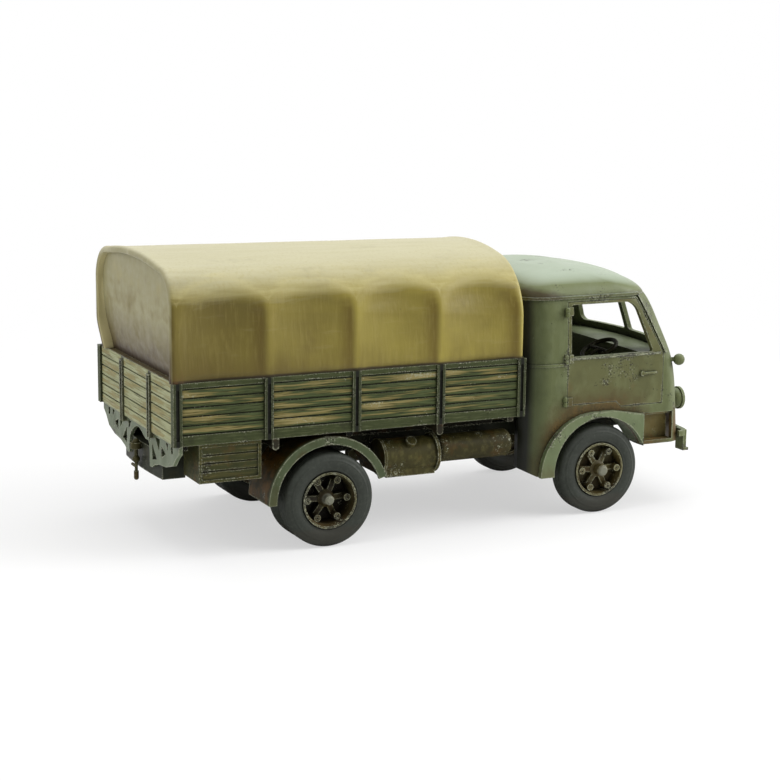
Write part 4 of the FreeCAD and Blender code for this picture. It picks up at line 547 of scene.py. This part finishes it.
def cover_outlines(x, shrink):
    """Closed outlines of the cover at places x, each drawn in by shrink.

    They run up the right side, round the shoulder, over the bowed crown, down the left side and
    back along the flat underside, which is the last UNDER columns.
    """
    top = np.interp(x, COVER_ENDS, COVER_TOPS)
    marks = []
    for rear, front, lean in zip(SHOULDER_REAR, SHOULDER_FRONT, SHOULDER_LEAN):
        inset, drop = [np.interp(x, COVER_ENDS, ends) for ends in zip(rear, front)]
        marks.append(np.stack([-(COVER_HALF - inset - shrink * math.sqrt(1 - lean ** 2)),
                               top - drop - shrink * lean], axis=-1))
    crown = np.stack([0.0 * x, top - shrink], axis=-1)
    foot = np.stack([marks[0][:, 0], np.full_like(x, BED_TOP)], axis=-1)
    flip = np.array([-1.0, 1.0])
    t = np.linspace(0.0, 1.0, SIDE_STEPS)[None, :, None]
    side = foot[:, None] + (marks[0] - foot)[:, None] * t
    shoulder = through(marks[0], marks[1], marks[2], SHOULDER_STEPS)
    dome = through(marks[2], crown, marks[2] * flip, CROWN_STEPS)
    half = np.concatenate([side[:, :-1], shoulder[:, :-1]], axis=1)
    u = np.linspace(0.0, 1.0, UNDER + 2)[None, 1:-1, None]
    under = foot[:, None] * flip + (foot * (1 - flip))[:, None] * u
    return np.concatenate([half, dome[:, :-1], (shoulder * flip)[:, ::-1][:, :-1],
                           (side * flip)[:, ::-1], under], axis=1)


def bay_share(x):
    """0 at the hoops and 1 between them: the rectified sine of the place along the bays."""
    phase = (x - HOOP_FIRST) / HOOP_PITCH
    return np.abs(np.sin(np.pi * np.clip(phase, 0.0, BAYS))) ** BAY_FLAT


def cover_places():
    """Where the skin's rings lie, from the front to the back of the rear recess, and how far each is in.

    A quarter turn rounds both ends, one half as large rounds the rim's inner lip, and the last
    rings are the recess's wall.
    """
    turn = np.linspace(0.0, np.pi / 2.0, EDGE_STEPS)
    ahead, inset = EDGE_ROUND * np.sin(turn), EDGE_ROUND * (1.0 - np.cos(turn))
    long = np.linspace(COVER_REAR + EDGE_ROUND, COVER_FRONT - EDGE_ROUND, ALONG)[::-1]
    wall = COVER_REAR + np.linspace(EDGE_ROUND / 2.0, RECESS, RECESS_RINGS + 1)[1:]
    lip_in = RIM_WIDTH + ahead / 2.0
    x = np.concatenate([(COVER_FRONT - EDGE_ROUND + ahead)[:0:-1], long,
                        (COVER_REAR + EDGE_ROUND - ahead)[1:], COVER_REAR + inset / 2.0, wall])
    shrink = np.concatenate([inset[:0:-1], 0.0 * long, inset[1:], lip_in, np.full_like(wall, lip_in[-1])])
    return x, shrink


def cover_body(bay, crease):
    """The skin between its two ends: the outline at each place, drawn in and creased.

    The flanks go in below the arches between the hoops, along the hem and at the rear's lower left
    corner, the crown sinks a little, and the recess's wall leans with the height. The creases are
    sums of sine waves.
    """
    x, shrink = cover_places()
    rings = cover_outlines(x, shrink)
    y, z = rings[..., 0], rings[..., 1]
    across = np.broadcast_to(x[:, None], y.shape).copy()
    across[:, -UNDER:] = np.maximum(across[:, -UNDER:], COVER_REAR + RECESS)
    down = np.interp(x, COVER_ENDS, COVER_TOPS)[:, None] - z
    skin = (smooth(across, COVER_REAR + 0.3, COVER_REAR + 3.0)
            * smooth(-across, -COVER_FRONT + 0.3, -COVER_FRONT + 2.5))
    flank = np.sign(y) * smooth(np.abs(y), 2.0, 12.0)
    wave = bay_share(across)
    start = ARCH_Z + ARCH_RISE * wave ** ARCH_FLAT + ARCH_FALL * (across - HOOP_FIRST)
    depth = smooth(start - z, 0.0, ARCH_SPAN) * (0.3 + 0.7 * smooth(z, BED_TOP, BED_TOP + 10.0))
    inward = skin * bay * wave * depth
    hem = skin * HEM_DEPTH * bump_at(z, BED_TOP + 0.2, HEM_HALF)
    small = skin * crease * (ripple(3, 3.4, across * 0.6, z * 0.35, y * 0.35) * smooth(down, 1.0, 7.0)
                             + 0.55 * ripple(5, 1.5, across, z * 0.16) * bump_at(z, BED_TOP + 2.0, 4.0)
                             + 0.5 * ripple(8, 5.0, across, y * 0.7))
    tuck = (TUCK_DEPTH * smooth(y, 8.0, 16.0) * smooth(BED_TOP + 5.5 - z, 0.0, 6.5)
            * bump_at(across, COVER_REAR, TUCK_REACH))
    new_y = y - flank * (inward + hem - small + 0.12) - tuck
    sink = skin * smooth(-down, -4.0, -0.5) * (0.10 + 0.25 * crease - small * 0.3)
    new_z = np.maximum(z - 0.35 * bump_at(down, 8.5, 2.5) * inward - sink, BED_TOP)
    lean = 0.5 * smooth(z, BED_TOP + 1.0, BED_TOP + 11.0)
    lean[:-RECESS_RINGS] = 0.0
    across = across - lean * np.maximum(across - COVER_REAR - EDGE_ROUND / 2.0, 0.0)
    return np.stack([across, new_y, new_z], axis=-1)


def close_ends(body):
    """Closes the skin with rings that shrink to each end's middle: a flat front and the rear flap.

    The flap sags out toward its middle by a power of the ring's share, with folds that deepen
    toward its foot.
    """
    first, last = body[0], body[-1]
    hub = np.array([0.0, (BED_TOP + COVER_TOPS[0]) / 2.0])
    shares = np.linspace(1.0, 0.0, FLAP_RINGS)[1:, None, None]
    share = shares[..., 0]
    flap = hub + (last[None, :, 1:] - hub) * shares
    y, z = flap[..., 0], flap[..., 1]
    rise = np.clip((BED_TOP + FLAP_HEIGHT - z) / FLAP_HEIGHT, 0, 1)
    puff = FLAP_PUFF * (1.0 - share ** 2.2)
    folds = FLAP_FOLD * ripple(11, 2.6, y, z * 0.15) * (0.4 + rise) * (1.0 - share ** 8)
    middle = COVER_REAR + RECESS * 0.6
    x = middle + (last[None, :, 0] - middle) * share ** 2 - puff - folds
    flap = np.concatenate([x[..., None], flap], axis=-1)
    face = hub + (first[None, :, 1:] - hub) * shares[::-1]
    face = np.concatenate([COVER_FRONT - 0.02 + 0.0 * face[..., :1], face], axis=-1)
    return np.concatenate([face, body, flap], axis=0)


def dress_cover(sizes):
    """The cover as one closed skin: rings from the front's middle over the hoops to the rear flap."""
    skin = close_ends(cover_body(sizes.fold_depth / MM, sizes.crease_depth / MM))
    mesh = mesh_of("cover_skin", [(skin, False, True, False)], sharp=50)
    place_piece("cloth_cover", mesh, canvas_paint(), replaces=["tilt_cover"])


def canvas_paint():
    """Khaki acrylic on cast cloth: pale on top, dry-brushing and a painted highlight, brown painted
    shade in the bays, streaks at the hem.

    Below is how far a place lies under the arch of its bay's hollow, a little blurred by the
    strokes: the arch is the sine of the place along the bay to a power, and falls along the cover.
    """
    cover = tuple(bpy.context.scene.lorry_colours.cover)
    brush = Brush("khaki_acrylic_on_cast_cloth", cover, clouds=(7.0, 3.0, 0.6))
    coat, ramp, times, plus, calc = brush.coat, brush.ramp, brush.times, brush.plus, brush.calc
    fine = brush.strokes((9.0, 1.4, 1.1), 4.0, 3.3)
    streaks = brush.strokes((1.6, 1.6, 12.0), 3.0, 5.2)
    threads = brush.strokes((0.5, 0.5, 5.0), 2.0, 7.9)
    x, z, place = plus(brush.x, -HOOP_FIRST), brush.z, brush.bay_place()
    wave = calc("POWER", calc("SINE", times(place, math.pi)), ARCH_FLAT)
    arch = plus(times(wave, ARCH_RISE), times(x, ARCH_FALL), ARCH_Z)
    below = plus(calc("SUBTRACT", arch, z), times(plus(fine, -0.5), 3.5))
    coat("#7A6C30", brush.clouds, 0.35, 0.7, 0.6)
    # Brown painted shade in the hollows, deeper toward each bay's front, painted shade before each hoop and a
    # painted highlight after it, and painted shade growing toward the rear
    hollow = times(ramp(below, -0.8, 3.4, soft=True), ramp(below, 3.0, 12.0, 1.0, 0.55, soft=True),
                   ramp(x, 6.0, 34.0, 1.0, 0.6))
    settle = ramp(place, 1.0, 0.92, soft=True)
    turned = plus(times(wave, 0.6), times(place, settle, 0.55))
    coat("#544816", times(hollow, turned), 0.0, 1.0, 0.8)
    under = ramp(below, 0.0, 3.0)
    coat("#5C4A0E", times(ramp(place, 0.78, 0.93), under, settle), 0.0, 1.0, 0.75)
    coat("#A0923C", times(ramp(place, 0.12, 0.03), under), 0.0, 1.0, 0.15)
    coat("#544712", x, 26.0, 0.0, 0.6)
    # Pale shoulder, front rim, crown and the hollows' upper lips: dry-brushing, and on the shoulder, crown
    # and lips also a painted highlight
    band = times(ramp(z, 42.0, 43.6), ramp(z, 46.4, 44.6))
    coat("#AFA04C", times(band, fine), 0.15, 0.7, 0.6)
    coat("#B2A55C", brush.x, COVER_FRONT - 0.9, COVER_FRONT - 0.3, 0.5)
    coat("#BFBA98", plus(ramp(z, 41.8, 48.0), times(fine, 0.5)), 0.3, 1.2, 0.95)
    lip = times(ramp(below, -3.0, -0.6), ramp(below, 0.3, -0.5))
    coat("#BDB37C", times(lip, fine), 0.25, 0.9, 0.6)
    coat("#9A8C4C", threads, 0.5, 0.75, 0.25)
    # Darker toward the hem, most at the rear, with dirt streaks, a painted shadow along the hem where the
    # cover meets the bed, and brown streaks at the rear
    low = ramp(z, 40.0, 30.0)
    coat("#4A3C10", times(low, ramp(x, 40.0, 0.0)), 0.0, 1.0, 0.5)
    coat("#5A4A1A", times(low, streaks), 0.3, 0.75, 0.55)
    coat("#241A0C", plus(ramp(z, BED_TOP + 0.7, BED_TOP), fine), 0.75, 1.3, 0.9)
    coat("#5A3D14", times(ramp(x, 5.0, 0.5), ramp(z, 36.0, 30.0), threads), 0.35, 0.7, 0.7)
    # The rim's inner wall and the rear flap, by which way they face: a painted highlight on the rim's
    # inner wall and painted light on the rear-facing flap, then dirt and stains at the flap's foot
    facing = brush.facing()
    coat("#C2B98A", times(ramp(facing["Y"], -0.2, -0.6), ramp(brush.y, 8.0, 10.0)), 0.0, 1.0, 0.9)
    flap = ramp(facing["X"], -0.5, -0.9)
    coat("#9A946E", times(flap, ramp(brush.clouds, 0.28, 0.5)), 0.0, 1.0)
    coat("#4A3A20", plus(times(flap, low), brush.clouds), 0.62, 1.35, 0.85)
    foot = plus(times(flap, ramp(z, BED_TOP + 2.6, BED_TOP + 0.1)), streaks)
    coat("#2A1A0C", foot, 0.75, 1.35, 0.85)
    # Painted shade in the hollows, by how open they are
    coat("#3A2D12", brush.hollows(2.2), 0.5, 0.1, 0.4)
    coat("#3F3320", brush.strokes(0.45, 2.0, 9.1), 0.76, 0.80, 0.55)
    return brush.finish(ramp(fine, 0.3, 0.7, 0.38, 0.54), plus(fine, threads), 0.05)


# The planks

def plank_grid(along, across, seed, depth):
    """One board's face as a height over its panel: long ripples of grain, rounded to its edges."""
    a, b = np.meshgrid(along, across, indexing="ij")
    half = (across[-1] - across[0]) / 2.0
    middle = (across[-1] + across[0]) / 2.0
    grain = ripple(seed, 0.5, a * 0.05, b * 2.2) + 0.6 * ripple(seed + 50, 0.35, a * 0.03, b * 2.6)
    crown = 1.0 - np.abs((b - middle) / half) ** 5
    ends = smooth(a, along[0], along[0] + 0.3) * smooth(-a, -along[-1], -along[-1] + 0.3)
    return a, b, 0.02 + depth * (1.0 + 0.7 * grain) * crown * ends


def plank_paint(name, paint, bare, axis, seed, boards):
    """Green acrylic over carved planks, worn through to tan along the grain.

    Paint holds its main, light and dark colour. Boards holds the height of the lowest joint and
    from one joint to the next: wear keeps off joints.
    """
    brush = Brush(name, linear(paint[0]))
    coat, ramp, plus, along_x = brush.coat, brush.ramp, brush.plus, axis == "x"
    long, short = (11.0, 0.55) if along_x else (0.55, 7.0)
    worn = brush.strokes((long, short, 0.34), 7.0, seed)
    fine = brush.strokes((long * 0.35, short * 0.7, 0.16), 3.0, seed + 2.0)
    broad = brush.strokes((long, 6.0, 1.5), 2.0, seed + 4.0)
    specks = brush.strokes((SPECK, SPECK, 0.3), 3.0, seed + 6.0)
    coat(paint[1], fine, 0.42, 0.66, 0.75)
    joint = brush.calc("PINGPONG", plus(brush.z, -boards[0]), boards[1] / 2.0)
    wear = plus(worn, broad, ramp(joint, 0.1, 0.6, -0.16, 0.03), brush.times(fine, 0.25), -0.125)
    if along_x:
        wear = plus(wear, ramp(brush.bay_place(), 0.0, 1.0, 0.10, -0.06))
    coat(bare, wear, 0.98, 1.08, 0.9)
    coat("#958A5C", wear, 1.06, 1.22, 0.7)
    coat(paint[2], fine, 0.44, 0.30, 0.75)
    # Darker in the grooves and against the posts and rails, by how open they are: dark joints, and also
    # painted shade
    coat(paint[2], brush.hollows(0.8), 0.75, 0.2, 0.6 if along_x else 0.35)
    coat("#A3A58C", plus(specks, broad), 1.25, 1.31, 0.6)
    return brush.finish(ramp(worn, 0.35, 0.65, 0.5, 0.7), fine, 0.07, 0.15 if along_x else 0.3)


def board_faces(along, base, step, rows, seed, depth):
    """The faces of one bay's boards from the lowest up, each as places along, heights and reliefs."""
    for row in range(rows):
        low = base + step * row + GROOVE / 2.0
        yield plank_grid(along, np.linspace(low, low + step - GROOVE, PLANK_ACROSS), seed + row, depth)


def dress_planks(sizes):
    """Carved faces for the boards of both sides and the tailgate, bay by bay."""
    depth = sizes.grain_depth / MM
    bare = tuple(bpy.context.scene.lorry_colours.plank)
    low, high = BED_BASE + BOTTOM_RAIL, BED_TOP - TOP_RAIL
    face_y = HALF_BED - PANEL_IN
    step = (high - low) / PLANKS
    paint = plank_paint("worn_green_acrylic_on_planks", ("#3B4325", "#545E3A", "#15170A"), bare, "x", 1.0,
                        (low, step))
    for side, label in SIDES:
        grids = []
        for bay in range(BAYS):
            x0 = BED_REAR + POST_WIDTH + HOOP_PITCH * bay
            along = np.linspace(x0 + PLANK_END, x0 + HOOP_PITCH - POST_WIDTH - PLANK_END, PLANK_STEPS)
            for a, b, out in board_faces(along, low, step, PLANKS, 100 + bay * 10 + (side + 1) * 40, depth):
                grids.append((np.stack([a, side * (face_y + out), b], axis=-1), False, False, side < 0))
        mesh = mesh_of("plank_faces_" + label, grids, sharp=60)
        place_piece("side_plank_faces_" + label, mesh, paint)
    step = (BED_TOP - BED_BASE) / TAILGATE_PLANKS
    paint = plank_paint("pale_green_acrylic_on_tailgate", ("#94976F", "#AEB18B", "#4A4526"),
                        "#857D50", "y", 9.0, (BED_BASE, step))
    inner, strap = HALF_BED - PANEL_IN - WALL, STRAP_WIDTH / 2.0
    edges = [-inner, -STRAP_Y - strap, -STRAP_Y + strap, STRAP_Y - strap, STRAP_Y + strap, inner]
    grids = []
    for bay, (y0, y1) in enumerate(zip(edges[::2], edges[1::2])):
        along = np.linspace(y0 + PLANK_END, y1 - PLANK_END, TAILGATE_STEPS)
        for a, b, out in board_faces(along, BED_BASE, step, TAILGATE_PLANKS, 300 + bay * 10, depth * 0.8):
            grids.append((np.stack([TAILGATE_X - out, a, b], axis=-1), False, False, False))
    mesh = mesh_of("tailgate_faces", grids, sharp=60)
    place_piece("tailgate_plank_faces", mesh, paint)


# The tyres

def tyre_section(tread):
    """The tyre's closed section as radius and inward distance: bead, wall, shoulder, tread and back.

    The wall is a shallow bow with two raised rings, and the tread has three round grooves.
    """
    t = np.linspace(0.0, 1.0, WALL_STEPS)
    wall_r = RIM_RADIUS + (TYRE_RADIUS - TYRE_SHOULDER - RIM_RADIUS) * t
    wall_in = TYRE_BEAD - 1.32 * t + 1.12 * t ** 2 - 0.08 * bump_at(t, 0.14, 0.045)
    wall_in = wall_in - 0.05 * bump_at(t, 0.86, 0.045)
    turn = np.linspace(0.0, np.pi / 2.0, TURN_STEPS)[1:]
    shoulder_r = TYRE_RADIUS - TYRE_CLEAR - TYRE_SHOULDER + TYRE_SHOULDER * np.sin(turn)
    shoulder_in = wall_in[-1] + TYRE_SHOULDER * (1.0 - np.cos(turn))
    across = np.linspace(shoulder_in[-1], TYRE_WIDTH - shoulder_in[-1], TREAD_STEPS)[1:-1]
    middle = TYRE_WIDTH / 2.0
    grooves = sum(bump_at(across, middle + shift, TREAD_GROOVE_HALF) for shift in TREAD_GROOVES)
    tread_r = TYRE_RADIUS - TYRE_CLEAR - tread * grooves - 0.02 * ((across - middle) / middle) ** 2
    radius = np.concatenate([wall_r, shoulder_r, tread_r, shoulder_r[::-1], wall_r[::-1]])
    inward = np.concatenate([wall_in, shoulder_in, across, TYRE_WIDTH - shoulder_in[::-1],
                             TYRE_WIDTH - wall_in[::-1]])
    return radius - TYRE_CLEAR, inward


def dress_tyres(sizes):
    """Turns the tyre's section round each axle: x and z by the turn's cosine and sine, y across."""
    radius, inward = tyre_section(sizes.tread_depth / MM)
    turn = turns(TYRE_TURNS)
    rubber = painted("matt_rubber_black_on_cast_tyre", **PAINTS["tyre_paint"])
    for node in [n for n in NODES if n.startswith("tyre_")]:
        low, high = box_mm(node)
        x, y, z = (low + high) / 2.0
        side = math.copysign(1.0, y)
        face = max(abs(low[1]), abs(high[1]))
        words = node.split("_")
        body = words[1] + "_wheel_" + words[-1]
        wide = np.broadcast_to(side * (face - inward)[:, None], (len(radius), len(turn)))
        grid = np.stack([x + radius[:, None] * np.cos(turn)[None, :], wide,
                         z + radius[:, None] * np.sin(turn)[None, :]], axis=-1)
        mesh = mesh_of(node + "_rubber", [(grid, True, True, False)], sharp=50, closed=True)
        place_piece(node.replace("tyre", "rubber"), mesh, rubber, body, [node])


# The cab's trim

def barrel(x, y, z, radius, half):
    """A hinge barrel: a half-round profile with a knuckle line, turned about an upright axis."""
    t = np.linspace(-1.0, 1.0, 31)
    r = radius * (1.0 - np.abs(t) ** 8) ** 0.5 * (1.0 - 0.25 * bump_at(t, 0.0, 0.07))
    turn = turns(24)
    return np.stack([x + r[:, None] * np.cos(turn), y + r[:, None] * np.sin(turn),
                     np.broadcast_to((z + half * t)[:, None], (len(t), len(turn)))], axis=-1)


def rod(points, radius, sides=12):
    """A round rod along points: rings across the path's tangent, drawn to a point at both ends."""
    points = np.asarray(points, float)
    tangent = np.gradient(points, axis=0)
    tangent /= np.linalg.norm(tangent, axis=1)[:, None]
    up = np.array([0.0, 0.0, 1.0]) if abs(tangent[0, 2]) < 0.8 else np.array([1.0, 0.0, 0.0])
    one = np.cross(tangent, up)
    one /= np.linalg.norm(one, axis=1)[:, None]
    two = np.cross(one, tangent)
    turn = turns(sides)
    size = np.full(len(points), radius)
    size[[0, -1]] = 0.0
    size[[1, -2]] = radius * 0.8
    ring = one[:, None] * np.cos(turn)[None, :, None] + two[:, None] * np.sin(turn)[None, :, None]
    return points[:, None] + ring * size[:, None, None]


def dress_trim():
    """Hinge barrels at the doors' rear edges and a half-round sill under each side window."""
    paint = painted("green_acrylic_on_cab_trim", **PAINTS["green_paint"])
    for side, label in SIDES:
        grids = [(barrel(DOOR_REAR - HINGE_RADIUS, side * (CAB_HALF + 0.12), z, HINGE_RADIUS, HINGE_HALF),
                  False, True, False) for z in HINGE_LEVELS]
        x = np.concatenate([[SILL_REAR, SILL_REAR + 0.05], np.linspace(SILL_REAR + 0.1, SILL_FRONT - 0.1, 40),
                            [SILL_FRONT - 0.05, SILL_FRONT]])
        y = np.full_like(x, side * (CAB_HALF + 0.02))
        path = np.stack([x, y, np.full_like(x, SILL_Z)], axis=-1)
        grids.append((rod(path, SILL_RADIUS), False, True, False))
        mesh = mesh_of("door_trim_" + label, grids, sharp=50, closed=True)
        place_piece("door_hinges_and_sill_" + label, mesh, paint)


def lens_paint():
    """Silver acrylic under a drop of gloss varnish, as lamp lenses on small castings are done."""
    brush = Brush("silver_acrylic_lens", linear("#8E928A"))
    ribs = brush.strokes((0.4, 0.25, 3.0), 2.0, 0.4)
    brush.coat("#C9CCC4", ribs, 0.4, 0.65, 0.8)
    return brush.finish(0.25, ribs, 0.05, gleam=0.5, metal=0.6)


def dress_lenses():
    """A domed lens in each headlamp: the dome's height falls with the square of the radius."""
    paint = lens_paint()
    for label in ("right", "left"):
        low, high = box_mm("headlamp_" + label)
        _, y, z = (low + high) / 2.0
        size = (high[2] - low[2]) / 2.0 - LENS_IN
        share = np.linspace(0.0, 1.0, 14)[:, None]
        turn = turns(48)[None, :]
        x = high[0] - 0.26 + LENS_DOME * (1.0 - share ** 2) + 0.0 * turn
        grid = np.stack([x, y + size * share * np.cos(turn), z + size * share * np.sin(turn)], axis=-1)
        back = grid.copy()
        back[..., 0] = high[0] - 0.3
        skin = np.concatenate([grid, back[::-1]], axis=0)
        mesh = mesh_of("lens_" + label, [(skin, False, True, False)], closed=True)
        place_piece("headlamp_lens_" + label, mesh, paint)


# Paint on the frame's own castings

def paint_castings():
    """Gives every visible casting the paint of its slot, or its own."""
    slots = {part["node"]: part["material_slot"] for part in frame["record"]["subparts"]}
    made = {}
    for node, casting in NODES.items():
        slot = slots[node]
        pair = node.removesuffix("_right").removesuffix("_left")
        own = CASTING_PAINTS.get(pair, {})
        key = node if own else slot.replace("_paint", "")
        if key not in made:
            made[key] = painted("acrylic_on_" + key + "_casting", **{**PAINTS[slot], **own})
        casting.data.materials.clear()
        casting.data.materials.append(made[key])


# Studio

def set_floor():
    """Pale paper, brighter to the camera, that fades away with the distance from the middle."""
    mesh = bpy.data.meshes.new("studio_floor")
    mesh.from_pydata([(-1, -1, 0), (1, -1, 0), (1, 1, 0), (-1, 1, 0)], [], [(0, 1, 2, 3)])
    floor = linked("studio_floor", mesh)
    material = bpy.data.materials.new("white_paper_floor")
    material.use_nodes = True
    tree = material.node_tree
    paper = tree.nodes["Principled BSDF"]
    paper.inputs["Base Color"].default_value = linear("#F6F6F6")
    paper.inputs["Roughness"].default_value = 0.9
    glow = add(tree, "ShaderNodeEmission")
    seen = add(tree, "ShaderNodeLightPath").outputs["Is Camera Ray"]
    share = add(tree, MATH, {0: seen, 1: 0.55}, operation="MULTIPLY")
    bright = add(tree, "ShaderNodeMixShader", {0: share.outputs[0], 1: paper.outputs[0], 2: glow.outputs[0]})
    where = add(tree, "ShaderNodeTexCoord").outputs["Object"]
    far = add(tree, "ShaderNodeVectorMath", {0: where}, operation="LENGTH").outputs["Value"]
    fade = add(tree, RANGE, {"Value": far, "From Min": FLOOR_FADE[0], "From Max": FLOOR_FADE[1]},
               interpolation_type="SMOOTHSTEP")
    clear = add(tree, "ShaderNodeBsdfTransparent")
    edge = add(tree, "ShaderNodeMixShader",
               {0: fade.outputs["Result"], 1: bright.outputs[0], 2: clear.outputs[0]})
    tree.links.new(edge.outputs[0], tree.nodes["Material Output"].inputs["Surface"])
    mesh.materials.append(material)


def set_studio():
    """Floor, white surroundings for what the camera and reflections see, four soft lamps, camera.

    The camera's pose is its target's place, then its turn about the upright, its rise from level,
    its roll about its own axis and its distance back along that axis.
    """
    set_floor()
    scene = bpy.context.scene
    world = bpy.data.worlds.new("studio")
    scene.world = world
    world.use_nodes = True
    tree = world.node_tree
    tree.nodes.clear()
    path = add(tree, "ShaderNodeLightPath")
    seen = path.outputs["Is Camera Ray"]
    for other in ("Is Glossy Ray", "Is Transmission Ray"):
        seen = add(tree, MATH, {0: seen, 1: path.outputs[other]}, operation="MAXIMUM").outputs[0]
    soft, white = [add(tree, "ShaderNodeBackground", {"Color": linear("#FFFFFF"), "Strength": strength})
                   for strength in (SKY_LIGHT, 1.0)]
    both = add(tree, "ShaderNodeMixShader", {0: seen, 1: soft.outputs[0], 2: white.outputs[0]})
    add(tree, "ShaderNodeOutputWorld", {"Surface": both.outputs[0]})
    for name, spot, size, power in SOFTBOXES:
        light = bpy.data.lights.new(name, "AREA")
        light.size = size
        light.energy = power
        lamp = linked(name, light)
        lamp.location = spot
        lamp.rotation_euler = (SOFTBOX_AIM - Vector(spot)).to_track_quat("-Z", "Y").to_euler()
    data = bpy.data.cameras.new("camera")
    data.lens = CAMERA_LENS
    data.sensor_width = CAMERA_SENSOR
    data.clip_start = CAMERA_NEAR
    camera = linked("camera", data)
    scene.camera = camera
    pose = Matrix.Translation(Vector(CAMERA_TARGET) * MM)
    for angle, axis in ((CAMERA_TURN, "Z"), (math.pi / 2.0 - CAMERA_RISE, "X"), (CAMERA_ROLL, "Z")):
        pose = pose @ Matrix.Rotation(angle, 4, axis)
    camera.matrix_world = pose @ Matrix.Translation((0.0, 0.0, CAMERA_FAR))
    scene.view_settings.view_transform = "Standard"


# Operators

class LORRY_OT_cover(bpy.types.Operator):
    """Builds the cloth cover over the load bed"""
    bl_idname = "lorry.cover"
    bl_label = "Cloth cover"

    def execute(self, context):
        dress_cover(context.scene.lorry_sizes)
        return {"FINISHED"}


class LORRY_OT_planks(bpy.types.Operator):
    """Builds the carved faces of the bed's planks"""
    bl_idname = "lorry.planks"
    bl_label = "Plank faces"

    def execute(self, context):
        dress_planks(context.scene.lorry_sizes)
        return {"FINISHED"}


class LORRY_OT_tyres(bpy.types.Operator):
    """Builds the six tyres on their wheels"""
    bl_idname = "lorry.tyres"
    bl_label = "Tyres"

    def execute(self, context):
        dress_tyres(context.scene.lorry_sizes)
        return {"FINISHED"}


class LORRY_OT_trim(bpy.types.Operator):
    """Builds the door hinges, the window sills and the headlamp lenses"""
    bl_idname = "lorry.trim"
    bl_label = "Cab trim"

    def execute(self, context):
        dress_trim()
        dress_lenses()
        return {"FINISHED"}


class LORRY_OT_paint(bpy.types.Operator):
    """Paints the castings of the frame"""
    bl_idname = "lorry.paint"
    bl_label = "Paint castings"

    def execute(self, context):
        paint_castings()
        return {"FINISHED"}


class LORRY_OT_studio(bpy.types.Operator):
    """Sets the floor, the surroundings, the lamps and the camera"""
    bl_idname = "lorry.studio"
    bl_label = "Studio"

    def execute(self, context):
        set_studio()
        return {"FINISHED"}


STEPS = ("lorry.paint", "lorry.cover", "lorry.planks", "lorry.tyres", "lorry.trim", "lorry.studio")


class LORRY_PT_panel(bpy.types.Panel):
    """Lists the lorry's steps, sizes and colours"""
    bl_idname = "LORRY_PT_panel"
    bl_label = "Cargo lorry miniature"
    bl_space_type = "VIEW_3D"
    bl_region_type = "UI"
    bl_category = "Lorry"

    def draw(self, context):
        for step in STEPS:
            self.layout.operator(step)
        for group in (context.scene.lorry_sizes, context.scene.lorry_colours):
            for name in group.bl_rna.properties.keys():
                if name not in ("rna_type", "name"):
                    self.layout.prop(group, name)


CLASSES = (LorrySizes, LorryColours, LORRY_OT_cover, LORRY_OT_planks, LORRY_OT_tyres, LORRY_OT_trim,
           LORRY_OT_paint, LORRY_OT_studio, LORRY_PT_panel)


def register():
    for one in CLASSES:
        bpy.utils.register_class(one)
    bpy.types.Scene.lorry_sizes = bpy.props.PointerProperty(type=LorrySizes)
    bpy.types.Scene.lorry_colours = bpy.props.PointerProperty(type=LorryColours)


def unregister():
    del bpy.types.Scene.lorry_colours
    del bpy.types.Scene.lorry_sizes
    for one in reversed(CLASSES):
        bpy.utils.unregister_class(one)


def main():
    register()
    for step in STEPS:
        area, name = step.split(".")
        getattr(getattr(bpy.ops, area), name)()


if __name__ == "__main__":
    main()
